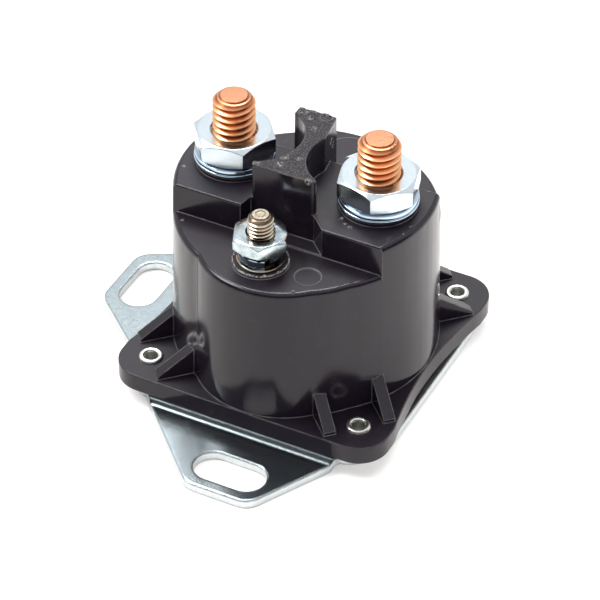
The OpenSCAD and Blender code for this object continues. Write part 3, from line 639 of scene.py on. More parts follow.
@dataclass(frozen=True)
class RolledThread(Finish):
    """Bare metal of a rolled thread: bright crests and darker valleys, partly oxide and partly painted shade,
    and an upward end face painted darker as painted shade.
    """

    axis_x: float = 0.0
    axis_y: float = 0.0
    root_r: float = 3.1
    crest_r: float = 3.93
    crest: Colour = (0.9, 0.46, 0.235)
    root: Colour = (0.4, 0.11, 0.045)
    stain: Colour = (0.6, 0.24, 0.12)
    # colour that the upward end face is painted with: painted shade
    end: Colour = (0.47, 0.23, 0.13)
    rough: float = 0.23
    root_clear: float = 0.1
    crest_clear: float = 0.08

    def build(self) -> bpy.types.Material:
        """Builds the thread's nodes."""
        t = Tree(self.name)
        x, y, _ = t.split(t.place)
        dx = t.math("SUBTRACT", x, self.axis_x * MM)
        dy = t.math("SUBTRACT", y, self.axis_y * MM)
        radius = t.math("SQRT", t.math("ADD", t.times(dx, dx), t.times(dy, dy)))
        up = t.split(t.add("ShaderNodeNewGeometry").outputs["Normal"])[2]
        valley, ridge = self.root_r + self.root_clear, self.crest_r - self.crest_clear
        # the valleys are painted darker: partly oxide, partly painted shade
        outward = t.remap(radius, valley * MM, ridge * MM)
        colour = t.blend(outward, self.root, self.crest)
        # painted shade: the upward end face is painted darker to dim the lamp's sheen on it
        colour = t.blend(t.remap(up, 0.85, 0.97), colour, self.end)
        cloud = t.noise(1.6, 4.0, 0.6)
        colour = t.blend(t.remap(cloud, 0.45, 0.75, 0.0, 0.5), colour, self.stain)
        rough = t.math("ADD", self.rough, t.times(t.noise(0.35, 3.0), 0.16), clamp=True)
        t.set(Base_Color=colour, Roughness=rough, Metallic=1.0)
        t.bump([(t.noise(0.9, 3.0), 0.03), (t.noise(0.14, 2.0), 0.004)])
        return t.material


@dataclass(frozen=True)
class Flash(Finish):
    """Torn moulding flash, pale where it was broken."""

    colour: Colour = (0.025, 0.022, 0.024)
    pale: Colour = (0.48, 0.46, 0.43)

    def build(self) -> bpy.types.Material:
        """Builds the flash's nodes."""
        t = Tree(self.name)
        torn = t.remap(t.noise(0.3, 5.0, 0.7), 0.45, 0.58)
        t.set(Base_Color=t.blend(torn, self.colour, self.pale), Roughness=0.55, IOR=1.5)
        t.bump([(t.noise(0.3, 4.0, 0.7), 0.08)])
        return t.material


@dataclass(frozen=True)
class Plain(Finish):
    """Non-metal with a fine grain and a cloudy tone, such as nylon or sheet rubber."""

    colour: Colour = (0.7, 0.65, 0.52)
    shade: Colour = (0.55, 0.5, 0.38)
    rough: float = 0.5
    grain: float = 0.4
    depth: float = 0.01

    def build(self) -> bpy.types.Material:
        """Builds the nodes."""
        t = Tree(self.name)
        colour = t.blend(t.remap(t.noise(2.5, 4.0), 0.35, 0.7), self.colour, self.shade)
        rough = t.math("ADD", self.rough, t.times(t.noise(self.grain, 3.0), 0.15), clamp=True)
        t.set(Base_Color=colour, Roughness=rough)
        t.bump([(t.noise(self.grain, 4.0), self.depth)])
        return t.material


@dataclass(frozen=True)
class Winding(Finish):
    """Enamelled wire laid in close turns, drawn as ridges along Z."""

    colour: Colour = (0.45, 0.14, 0.04)
    shade: Colour = (0.2, 0.05, 0.015)
    wire: float = 0.5

    def build(self) -> bpy.types.Material:
        """Builds the winding's nodes."""
        t = Tree(self.name)
        wave = t.add("ShaderNodeTexWave", wave_type="BANDS", bands_direction="Z", wave_profile="SIN")
        t.put(wave.inputs["Vector"], t.place)
        wave.inputs["Scale"].default_value = TAU / 20 / (self.wire * MM)
        ridge = wave.outputs["Fac"]
        # the grooves between turns are painted in the darker shade colour: painted shade
        t.set(Base_Color=t.blend(ridge, self.shade, self.colour), Roughness=0.25, Coat_Weight=0.6)
        t.bump([(ridge, 0.12), (t.noise(0.8, 3.0), 0.02)])
        return t.material


MOULDING = BlackMoulding("black moulding")
BRACKET_ZINC = Plated(
    "zinc plate", colour=(0.5, 0.57, 0.6), shade=(0.24, 0.29, 0.31), rough=0.17, rough_spread=0.03,
    cloud=0.3, speckle=0.8, grain=0.22, grain_depth=0.006, wave_depth=0.002, edge_r=0.7,
    painted_rim_shade=(0.03, 0.035, 0.04), sheared_and_lit_side=(0.76, 0.8, 0.82),
)
NUT_ZINC = Plated(
    "nut zinc", colour=(0.68, 0.75, 0.79), shade=(0.42, 0.5, 0.56), rough=0.15, brush=(1.0, 0.4, 1.0),
    speckle=0.45, grain=0.2, grain_depth=0.004, wave_depth=0.008,
)
WASHER_ZINC = Plated(
    "washer zinc", colour=(0.56, 0.67, 0.77), shade=(0.32, 0.45, 0.6), rough=0.06, rough_spread=0.03,
    speckle=0.1,
)
CONTROL_ZINC = Plated(
    "control zinc", colour=(0.7, 0.79, 0.82), shade=(0.16, 0.21, 0.24), rough=0.07, brush=(0.4, 1.0, 1.0),
    cloud=0.7, grain=0.2, grain_depth=0.003, rim=0.3, rim_span=(0.2, 0.7), painted_rim_shade=(0.1, 0.13, 0.15),
)
TINNED = Plated("tinned rivet", colour=(0.8, 0.8, 0.76), shade=(0.6, 0.62, 0.58), rough=0.27)
NICKEL = Plated("nickel washer", colour=(0.6, 0.54, 0.46), shade=(0.3, 0.26, 0.21), rough=0.12, grain=0.2)
IRON = Plated("machined iron", colour=(0.5, 0.5, 0.52), shade=(0.36, 0.36, 0.38), rough=0.34)
SPRING = Plated("spring wire", colour=(0.45, 0.46, 0.48), shade=(0.3, 0.31, 0.33), rough=0.22)
BRASS = Plated("sleeve brass", colour=(0.75, 0.6, 0.32), shade=(0.55, 0.42, 0.2), rough=0.24)
DISC_COPPER = Plated("disc copper", colour=(0.92, 0.5, 0.32), shade=(0.7, 0.3, 0.16), rough=0.28)
GASKET = Plain("sheet gasket", colour=(0.012, 0.012, 0.012), shade=(0.03, 0.028, 0.026), rough=0.6)
NYLON = Plain("natural nylon")
ENAMEL = Winding("enamelled winding")
TORN_FLASH = Flash("torn flash")
TORN_LUMP = Flash("torn lump", colour=(0.02, 0.018, 0.021), pale=(0.13, 0.125, 0.125))


# threads


@dataclass(frozen=True)
class Thread:
    """A right-hand thread with flattened crests and roots, in millimetres."""

    major_r: float
    pitch: float
    depth: float
    crest_flat_share: float = 0.14
    root_flat_share: float = 0.2
    round_share: float = 0.12
    run_in_share: float = 1.5

    def profile(self) -> list[Point2]:
        """One pitch of the thread as (radius, height) points, from root to root."""
        root = self.major_r - self.depth
        flank = (1 - self.crest_flat_share - self.root_flat_share) / 2
        low = self.root_flat_share / 2
        soft = self.round_share * self.depth
        ease = flank * self.round_share
        crest_from = low + flank
        shares = [
            (root, 0.0), (root, low), (root + soft, low + ease),
            (self.major_r - soft, crest_from - ease), (self.major_r, crest_from),
            (self.major_r, crest_from + self.crest_flat_share),
            (self.major_r - soft, crest_from + self.crest_flat_share + ease),
            (root + soft, 1 - low - ease), (root, 1 - low), (root, 1.0),
        ]
        return [(r, share * self.pitch) for r, share in shares]

    def rod(self, name: str, low: float, high: float, steps: int) -> bpy.types.Object:
        """A closed threaded rod about the Z axis.

        Args:
            name: name of the new object.
            low: height of its lower end.
            high: height of its upper end.
            steps: faces in each turn.

        Returns:
            The rod, with flat capped ends.
        """
        start = low - self.run_in_share * self.pitch
        turns = math.ceil((high - start) / self.pitch) + 1
        obj = Bench.outline(name, [(r, start + z) for r, z in self.profile()], closed=False)
        Bench.modify(
            obj, "SCREW", axis="Z", angle=TAU, screw_offset=self.pitch * MM, iterations=turns,
            steps=steps, render_steps=steps, use_merge_vertices=True, merge_threshold=SWEPT_WELD * MM,
            use_smooth_shade=False,
        )
        with Bench.editing(obj):
            for height, below in ((low, True), (high, False)):
                bpy.ops.mesh.select_all(action="SELECT")
                bpy.ops.mesh.bisect(
                    plane_co=(0, 0, height * MM), plane_no=UP, use_fill=True,
                    clear_inner=below, clear_outer=not below,
                )
            bpy.ops.mesh.select_all(action="SELECT")
            bpy.ops.mesh.remove_doubles(threshold=SWEPT_WELD * MM)
            bpy.ops.mesh.normals_make_consistent(inside=False)
        return obj


# terminals


@dataclass
class HexNut:
    """A hexagon nut with chamfered corners and a countersunk bore."""

    across_flats: float
    height: float
    bore_r: float
    mouth_r: float
    low: float
    point: float
    soft: float
    crisp: bool = False
    face_share: float = 0.965
    chamfer: float = 30.0
    spare: float = 0.3

    def build(self, name: str) -> bpy.types.Object:
        """Builds the nut about the Z axis at its height.

        Args:
            name: name of the new object.

        Returns:
            The nut.
        """
        corner = self.across_flats / math.sqrt(3)
        face = self.across_flats / 2 * self.face_share
        wide = corner + self.spare
        drop = (wide - face) * math.tan(math.radians(self.chamfer))
        high = self.low + self.height
        bpy.ops.object.select_all(action="DESELECT")
        bpy.ops.mesh.primitive_cylinder_add(
            vertices=6, radius=corner * MM, depth=self.height * MM,
            location=(0, 0, (self.low + self.height / 2) * MM),
        )
        nut = bpy.context.active_object
        nut.name = name
        # its first corner lies on +Y, a quarter turn on from +X
        Bench.settle(nut)
        Bench.place(nut, 0, 0, self.point - 90)
        barrel = Bench.lathe("barrel", [
            (0, self.low), (face, self.low), (wide, self.low + drop),
            (wide, high - drop), (face, high), (0, high),
        ], 96)
        Bench.combine(nut, barrel, Merge.KEEP_COMMON)
        sink = self.mouth_r - self.bore_r
        mouth = self.mouth_r + self.spare
        bore = Bench.lathe("bore", [
            (0, self.low - self.spare), (mouth, self.low - self.spare), (self.bore_r, self.low + sink),
            (self.bore_r, high - sink), (mouth, high + self.spare), (0, high + self.spare),
        ], 72)
        Bench.combine(nut, bore, Merge.CUT)
        Bench.soften(nut, self.soft, angle=15)
        Bench.shade(nut, 35)
        if self.crisp:
            Bench.modify(nut, "WEIGHTED_NORMAL", keep_sharp=True, weight=80)
        return nut


@dataclass
class PowerTerminal:
    """A copper stud with its nut, dished spring washer and flat washer."""

    side: str
    x: float
    nut_point: float
    y: float = -0.5
    thread: Thread = field(default_factory=lambda: Thread(major_r=3.93, pitch=1.411, depth=0.78))
    head_r: float = 6.4
    head_low: float = 31.9
    head_top: float = 34.3
    core_r: float = 3.62
    thread_low: float = 42.6
    thread_top: float = 54.6
    top: float = 55.8
    button_r: float = 2.6
    button_h: float = 0.35
    chamfer_in: float = 0.85
    clear: float = 0.4
    washer_low: float = 42.1
    washer_t: float = 0.8
    washer_r: float = 7.45
    hole_r: float = 4.25
    dish_low: float = 42.9
    dish_h: float = 1.1

    def stud(self) -> bpy.types.Object:
        """The stud: head inside the housing, thread, chamfer and end button."""
        rod = self.thread.rod(f"stud_{self.side}_copper", self.thread_low, self.top + THREAD_SPARE, 72)
        chamfer_top = self.top - self.button_h
        wide = self.thread.major_r + self.clear
        slope = (chamfer_top - self.thread_top) / self.chamfer_in
        envelope = Bench.lathe("envelope", [
            (0, self.thread_low - TRIM_SPARE), (wide, self.thread_low - TRIM_SPARE),
            (wide, self.thread_top - self.clear * slope),
            (self.thread.major_r - self.chamfer_in, chamfer_top - 0.06),
            (self.button_r + 0.1, chamfer_top - 0.02), (self.button_r, chamfer_top + 0.05),
            (self.button_r - 0.02, self.top - 0.1), (self.button_r - 0.12, self.top - 0.02),
            (0, self.top),
        ], 72)
        Bench.combine(rod, envelope, Merge.KEEP_COMMON)
        shank = Bench.lathe("shank", [
            (0, self.head_low), (self.head_r - 0.3, self.head_low), (self.head_r, self.head_low + 0.3),
            (self.head_r, self.head_top), (self.core_r, self.head_top),
            (self.core_r, self.thread_low + 0.3), (0, self.thread_low + 0.3),
        ], 72)
        Bench.combine(rod, shank, Merge.ADD)
        Bench.shade(rod, 32, weighted=False)
        return Bench.place(rod, self.x, self.y)

    def flat_washer(self) -> bpy.types.Object:
        """The flat washer, with edges rolled by its punch."""
        low, high, roll = self.washer_low, self.washer_low + self.washer_t, 0.22
        washer = Bench.lathe(f"flat_washer_{self.side}_zinc", [
            (self.hole_r, low), (self.washer_r - roll / 2, low), (self.washer_r, low + roll / 2),
            (self.washer_r, high - roll), (self.washer_r - roll * 0.35, high - roll * 0.3),
            (self.washer_r - roll, high), (self.hole_r + roll, high), (self.hole_r, high - roll),
        ], 96, closed=True)
        Bench.shade(washer, 50)
        return Bench.place(washer, self.x, self.y)

    def spring_washer(self) -> bpy.types.Object:
        """The dished spring washer, whose section leans and is rounded at its rim."""
        rim = self.washer_r - 0.16
        rise = self.dish_h / 4
        low, high = self.dish_low, self.dish_low + self.dish_h
        washer = Bench.lathe(f"spring_washer_{self.side}_zinc", [
            (self.hole_r, low + rise), (rim - 0.1, low + 0.01), (rim, low + 0.08),
            (rim, high - 0.3), (rim - 0.05, high - 0.22), (rim - 0.15, high - 0.18),
            (self.hole_r + 0.1, high), (self.hole_r, high - 0.1),
        ], 96, closed=True)
        Bench.shade(washer, 50)
        return Bench.place(washer, self.x, self.y)

    def nut(self) -> bpy.types.Object:
        """The big nut."""
        shape = HexNut(
            across_flats=13.8, height=4.4, bore_r=3.98, mouth_r=4.45, low=44.0, point=self.nut_point,
            soft=0.12,
        )
        return Bench.place(shape.build(f"stud_nut_{self.side}_zinc"), self.x, self.y)

    def build(self) -> None:
        """Builds and dresses the whole terminal."""
        copper = RolledThread(f"{self.side} stud copper", axis_x=self.x, axis_y=self.y)
        Bench.dress(self.stud(), copper, "copper", Body.BASE, [f"stud_{self.side}"])
        Bench.dress(self.nut(), NUT_ZINC, "zinc", Body.BASE, [f"stud_nut_{self.side}"])
        Bench.dress(self.spring_washer(), WASHER_ZINC, "zinc", Body.BASE, [f"spring_washer_{self.side}"])
        Bench.dress(self.flat_washer(), WASHER_ZINC, "zinc", Body.BASE, [f"flat_washer_{self.side}"])


@dataclass
class ControlTerminal:
    """The small control stud with its nut, split lock washer, flat washer and ring of flash."""

    y: float = -18.3
    thread: Thread = field(default_factory=lambda: Thread(major_r=2.4, pitch=0.794, depth=0.45))
    head_r: float = 3.3
    head_low: float = 31.4
    head_top: float = 32.9
    core_r: float = 2.2
    thread_low: float = 37.0
    thread_top: float = 45.1
    top: float = 46.0
    button_r: float = 1.6
    clear: float = 0.3
    washer_low: float = 35.8
    washer_t: float = 0.7
    washer_r: float = 4.4
    hole_r: float = 2.5
    split_at: float = -46.0
    split_gap: float = 14.0
    split_low: float = 36.5
    split_top: float = 39.4
    split_t: float = 1.7
    split_r: float = 4.0
    ring_r: float = 5.05
    ring_top: float = 35.95
    ring_lift: float = 0.3
    ring_spread: float = 0.03

    def stud(self) -> bpy.types.Object:
        """The stud with its thread, chamfer and grooved end."""
        rod = self.thread.rod("control_stud_nickel", self.thread_low, self.top + THREAD_SPARE, 60)
        wide = self.thread.major_r + self.clear
        envelope = Bench.lathe("envelope", [
            (0, self.thread_low - TRIM_SPARE), (wide, self.thread_low - TRIM_SPARE),
            (wide, self.thread_top - self.clear),
            (self.thread.major_r - 0.55, self.top - 0.4), (self.button_r + 0.06, self.top - 0.34),
            (self.button_r, self.top - 0.08), (self.button_r - 0.1, self.top),
            (1.0, self.top), (0.92, self.top - 0.1), (0.78, self.top - 0.1), (0.7, self.top - 0.02),
            (0, self.top - 0.02),
        ], 60)
        Bench.combine(rod, envelope, Merge.KEEP_COMMON)
        shank = Bench.lathe("shank", [
            (0, self.head_low), (self.head_r, self.head_low), (self.head_r, self.head_top),
            (self.core_r, self.head_top), (self.core_r, self.thread_low + 0.2), (0, self.thread_low + 0.2),
        ], 60)
        Bench.combine(rod, shank, Merge.ADD)
        Bench.shade(rod, 32, weighted=False)
        return Bench.place(rod, 0, self.y)

    def lock_washer(self) -> bpy.types.Object:
        """The split lock washer, sprung open as one left-hand turn of square wire."""
        low, high, roll = self.split_top - self.split_t, self.split_top, 0.12
        section = [
            (self.hole_r, low + roll), (self.hole_r + roll, low), (self.split_r - roll, low),
            (self.split_r, low + roll), (self.split_r, high - roll), (self.split_r - roll, high),
            (self.hole_r + roll, high), (self.hole_r, high - roll),
        ]
        washer = Bench.outline("control_lock_washer_zinc", section, closed=True)
        fall = (self.split_t - (self.split_top - self.split_low)) * MM
        with Bench.editing(washer):
            bpy.ops.mesh.select_all(action="SELECT")
            bpy.ops.mesh.edge_face_add()
        Bench.modify(
            washer, "SCREW", axis="Z", angle=math.radians(360 - self.split_gap), screw_offset=fall,
            iterations=1, steps=72, render_steps=72, use_smooth_shade=False, use_merge_vertices=False,
        )
        with Bench.editing(washer):
            bpy.ops.mesh.select_all(action="SELECT")
            bpy.ops.mesh.remove_doubles(threshold=SWEPT_WELD * MM)
            bpy.ops.mesh.fill_holes(sides=8)
            bpy.ops.mesh.select_all(action="SELECT")
            bpy.ops.mesh.normals_make_consistent(inside=False)
        Bench.shade(washer, 30)
        return Bench.place(washer, 0, self.y, self.split_at + self.split_gap / 2)

    def flat_washer(self) -> bpy.types.Object:
        """The flat washer under the split one."""
        low, high, roll = self.washer_low, self.washer_low + self.washer_t, 0.15
        washer = Bench.lathe("control_flat_washer_nickel", [
            (self.hole_r, low), (self.washer_r, low), (self.washer_r, high - roll),
            (self.washer_r - roll * 0.3, high - roll * 0.3), (self.washer_r - roll, high),
            (self.hole_r + roll, high), (self.hole_r, high - roll),
        ], 72, closed=True)
        Bench.shade(washer, 30)
        return Bench.place(washer, 0, self.y)

    def flash_ring(self) -> bpy.types.Object:
        """The ragged ring of flash that the mould left round the washer."""
        ring = Bench.lathe("control_ring_flash", [
            (self.ring_r - 0.32, self.washer_low - 0.05), (self.ring_r + 0.12, self.washer_low - 0.05),
            (self.ring_r + 0.08, self.ring_top - 0.02), (self.ring_r - 0.12, self.ring_top),
        ], 120, closed=True)
        with Bench.editing(ring):
            mesh = bmesh.from_edit_mesh(ring.data)
            for vertex in mesh.verts:
                if vertex.co.z < self.washer_low * MM:
                    continue
                angle = math.atan2(vertex.co.y, vertex.co.x)
                ragged = 0.5 + 0.3 * math.sin(13 * angle + 1) + 0.2 * math.sin(31 * angle)
                vertex.co.z += self.ring_lift * (ragged - 0.4) * MM
                vertex.co.xy *= 1 + self.ring_spread * math.sin(23 * angle + 2) * ragged
            bmesh.update_edit_mesh(ring.data)
        Bench.shade(ring, 60)
        return Bench.place(ring, 0, self.y)

    def build(self) -> None:
        """Builds and dresses the whole terminal."""
        nickel = RolledThread(
            "control stud nickel", axis_y=self.y, root_r=1.95, crest_r=2.4, crest=(0.66, 0.57, 0.46),
            root=(0.11, 0.075, 0.05), stain=(0.36, 0.28, 0.2), end=(0.5, 0.43, 0.34), rough=0.14,
        )
        Bench.dress(self.stud(), nickel, "nickel", Body.BASE, ["control_stud"])
        nut = HexNut(
            across_flats=9.53, height=2.8, bore_r=2.43, mouth_r=2.75, low=39.4, point=-67.4,
            soft=0.08, crisp=True,
        )
        placed = Bench.place(nut.build("control_nut_zinc"), 0, self.y)
        Bench.dress(placed, CONTROL_ZINC, "zinc", Body.BASE, ["control_nut"])
        Bench.dress(self.lock_washer(), WASHER_ZINC, "zinc", Body.BASE, ["control_lock_washer"])
        Bench.dress(self.flat_washer(), NICKEL, "nickel", Body.BASE, ["control_flat_washer"])
        Bench.dress(self.flash_ring(), TORN_FLASH, "moulding", Body.BASE)


# housing and mounting


@dataclass
class Housing:
    """The moulded housing, with rounded edges, a leaning flange side and torn lumps of moulding."""

    flange_low: float = 3.4
    flange_top: float = FLANGE_TOP
    divider_top: float = 48.75
    flange_edge: float = 0.22
    divider_edge: float = 0.4
    reach: float = 0.1
    hairline: float = 0.05
    rivet_at: float = RIVET_AT
    hole_zone: float = 3.0
    waist_from: float = 25.3
    waist_half: float = 17.0
    waist_in: float = 0.25
    waist_out: float = 0.2
    lump_rough: float = 0.22
    lumps: tuple[tuple[Point3, Point3], ...] = (
        ((-5.9, 9.8, 48.6), (0.7, 0.5, 0.45)), ((-3.6, 10.1, 48.6), (1.5, 0.35, 0.3)),
        ((-1.2, 10.1, 48.55), (1.1, 0.45, 0.5)), ((0.3, 10.0, 48.45), (0.5, 0.5, 0.45)),
        ((-6.3, -8.4, 48.55), (0.35, 0.6, 0.25)), ((9.0, -23.3, 35.3), (0.4, 0.3, 0.28)),
    )

    def lean_waist(self, shell: bpy.types.Object) -> None:
        """Leans the drawn-in side of the flange: in at the top, out at the bottom, most at its middle."""
        for vertex in shell.data.vertices:
            x, y, z = vertex.co / MM
            if x < self.waist_from or abs(y) > self.waist_half or z > self.flange_top + self.reach:
                continue
            swell = math.cos(math.pi / 2 * y / self.waist_half) ** 2
            top = z > (self.flange_low + self.flange_top) / 2
            vertex.co.x += swell * (-self.waist_in if top else self.waist_out) * MM

    def torn_lump(self, number: int, place: Point3, size: Point3) -> None:
        """Sets a torn lump of moulding on an edge of the divider or the nose.

        Args:
            number: its number in the piece's name.
            place: x, y and z of its middle in millimetres.
            size: its half sizes in millimetres.
        """
        bpy.ops.object.select_all(action="DESELECT")
        bpy.ops.mesh.primitive_ico_sphere_add(subdivisions=4, radius=MM)
        lump = bpy.context.active_object
        lump.name = f"divider_torn_{number}_flash"
        with Bench.editing(lump):
            bpy.ops.mesh.select_all(action="SELECT")
            bpy.ops.transform.resize(value=tuple(size))
            bpy.ops.transform.translate(value=tuple(v * MM for v in place))
            mesh = bmesh.from_edit_mesh(lump.data)
            middle = Vector(place) * MM
            for vertex in mesh.verts:
                offset = (vertex.co - middle) / MM
                rough = math.sin(5.1 * offset.x + number) * math.sin(4.3 * offset.y)
                rough *= math.sin(6.7 * offset.z + 1)
                vertex.co = middle + (vertex.co - middle) * (1 + self.lump_rough * rough)
            bmesh.update_edit_mesh(lump.data)
        Bench.shade(lump, 60)
        Bench.dress(lump, TORN_LUMP, "moulding", Body.BASE)

    def in_hole(self, place: Vector) -> bool:
        """Whether a place in millimetres lies at the mouth of a rivet hole."""
        return math.hypot(abs(place.x) - self.rivet_at, abs(place.y) - self.rivet_at) < self.hole_zone

    def build(self) -> None:
        """Copies the CAD housing, rounds its outer edges and dresses it."""
        shell = Bench.from_cad("housing", "housing_moulding")
        self.lean_waist(shell)
        for level, width, merge in (
            (self.flange_low, self.flange_edge, 0.0), (self.flange_top, self.flange_edge, 0.0),
            (self.divider_top, self.divider_edge, 0.15),
        ):
            count = Bench.round_edges(
                shell, width, lambda p: abs(p.z - level) < self.reach and not self.in_hole(p),
                merge=merge,
            )
            log.info("housing: %d edges rounded at %.2f mm", count, level)
        Bench.soften(shell, self.hairline, angle=28)
        Bench.shade(shell, 35)
        Bench.dress(shell, MOULDING, "moulding", Body.BASE, ["housing"])
        for number, (place, size) in enumerate(self.lumps, 1):
            self.torn_lump(number, place, size)


@dataclass
class Mounting:
    """The slotted bracket, its gasket and the four eyelet rivets."""

    rivet_at: float = RIVET_AT
    bore_r: float = 1.2
    shank_r: float = 1.8
    head_r: float = 2.33
    tail_r: float = 2.5
    flange_top: float = FLANGE_TOP
    joggle: float = 1.0
    edge: float = 0.18
    gasket_edge: float = 0.06
    seat: float = 0.02
    bore_middle: float = 4.0
    head_share: float = 1.05
    tail_share: float = 0.94
    corner_turn: float = 31.0

    def bracket(self) -> bpy.types.Object:
        """The bracket, with the rolled edges that its press left."""
        plate = Bench.from_cad("mounting_bracket", "bracket_zinc")
        Bench.soften(plate, self.edge, angle=30, segments=3)
        Bench.shade(plate, 35)
        return plate

    def gasket(self) -> bpy.types.Object:
        """The thin gasket between bracket and flange."""
        sheet = Bench.from_cad("base_gasket", "gasket_sheet")
        Bench.soften(sheet, self.gasket_edge, angle=30)
        Bench.shade(sheet, 35)
        return sheet

    def rivet(self, name: str) -> bpy.types.Object:
        """One eyelet rivet about the Z axis: rolled head, hollow shank and rolled tail."""
        half_turn = [math.radians(angle) for angle in range(0, 181, 18)]
        above, below = self.flange_top + self.seat, self.joggle - self.seat
        head_at, head_roll = (self.head_r + self.bore_r) / 2, (self.head_r - self.bore_r) / 2
        tail_at, tail_roll = (self.tail_r + self.bore_r) / 2, (self.tail_r - self.bore_r) / 2
        rise, fall = self.head_share * head_roll, self.tail_share * self.joggle
        head = [(head_at + head_roll * math.cos(a), above + rise * math.sin(a)) for a in half_turn]
        tail = [(tail_at - tail_roll * math.cos(a), below - fall * math.sin(a)) for a in half_turn]
        middle = (self.bore_r, self.bore_middle)
        profile = [(self.shank_r, above), *head, middle, *tail, (self.shank_r, below)]
        eyelet = Bench.lathe(name, profile, 64, closed=True)
        Bench.shade(eyelet, 50)
        return eyelet

    def build(self) -> None:
        """Builds and dresses the mounting pieces."""
        Bench.dress(self.bracket(), BRACKET_ZINC, "zinc", Body.BASE, ["mounting_bracket"])
        Bench.dress(self.gasket(), GASKET, "gasket", Body.BASE, ["base_gasket"])
        corners = {
            "front_left": (-1, -1), "front_right": (1, -1), "back_right": (1, 1), "back_left": (-1, 1),
        }
        for turn, (corner, (sx, sy)) in enumerate(corners.items()):
            eyelet = self.rivet(f"rivet_{corner}_tin")
            Bench.place(eyelet, sx * self.rivet_at, sy * self.rivet_at, self.corner_turn * turn)
            Bench.dress(eyelet, TINNED, "tin", Body.BASE, [f"rivet_{corner}"])


@dataclass(frozen=True)
class Coil:
    """A coil spring's joint, its body, the height of its fixed end and its stroke in mm."""

    joint: str
    body: Body
    foot: float
    stroke: float


@dataclass
class Mechanism:
    """The coil, magnet frame and contacts inside, which keep their CAD solids, and the two springs."""

    finishes: dict[str, Finish] = field(default_factory=lambda: {
        "magnet_frame": IRON, "flux_plate": IRON, "bobbin": NYLON, "coil_winding": ENAMEL,
        "control_lead": ENAMEL, "ground_lead": ENAMEL, "guide_sleeve": BRASS, "fixed_core": IRON,
        "plunger": IRON, "push_rod": IRON, "contact_disc": DISC_COPPER, "contact_bushing": NYLON,
        "contact_cap_washer": NYLON, "rod_clip": SPRING,
    })
    springs: dict[str, Coil] = field(default_factory=lambda: {
        "return_spring": Coil("plunger_slide", Body.BASE, foot=18.0, stroke=2.5),
        "contact_spring": Coil("contact_slide", Body.PLUNGER, foot=24.4, stroke=0.5),
    })

    def build(self) -> None:
        """Gives each inner node its finish."""
        for node, finish in self.finishes.items():
            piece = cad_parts[node]
            piece.data.materials.clear()
            piece.data.materials.append(finish.material())
            log.info("%s: kept, %s", node, finish.name)
        for node, coil in self.springs.items():
            wire = Bench.from_cad(node, f"{node}_wire")
            Bench.shade(wire, 60)
            Bench.dress(wire, SPRING, "spring_steel", coil.body, [node])
            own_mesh(wire)


# studio


@dataclass(frozen=True)
class Lamp:
    """A soft box that looks at the object, placed in degrees and metres, with its power in watts."""

    name: str
    azimuth: float
    reach: float
    height: float
    size: float
    power: float
    shiny: bool = True
    matt: bool = True
    aim_height: float = 0.03

    def hang(self) -> None:
        """Adds the lamp; shiny and matt say which surfaces it lights."""
        azimuth = math.radians(self.azimuth)
        data = bpy.data.lights.new(self.name, "AREA")
        data.shape = "SQUARE"
        data.size = self.size
        data.energy = self.power
        obj = bpy.data.objects.new(self.name, data)
        obj.visible_glossy = self.shiny
        obj.visible_diffuse = self.matt
        spot = Vector((math.sin(azimuth) * self.reach, -math.cos(azimuth) * self.reach, self.height))
        aim = (spot - Vector((0, 0, self.aim_height))).to_track_quat("Z", "Y").to_matrix().to_4x4()
        obj.matrix_world = Matrix.Translation(spot) @ aim
        bpy.context.scene.collection.objects.link(obj)


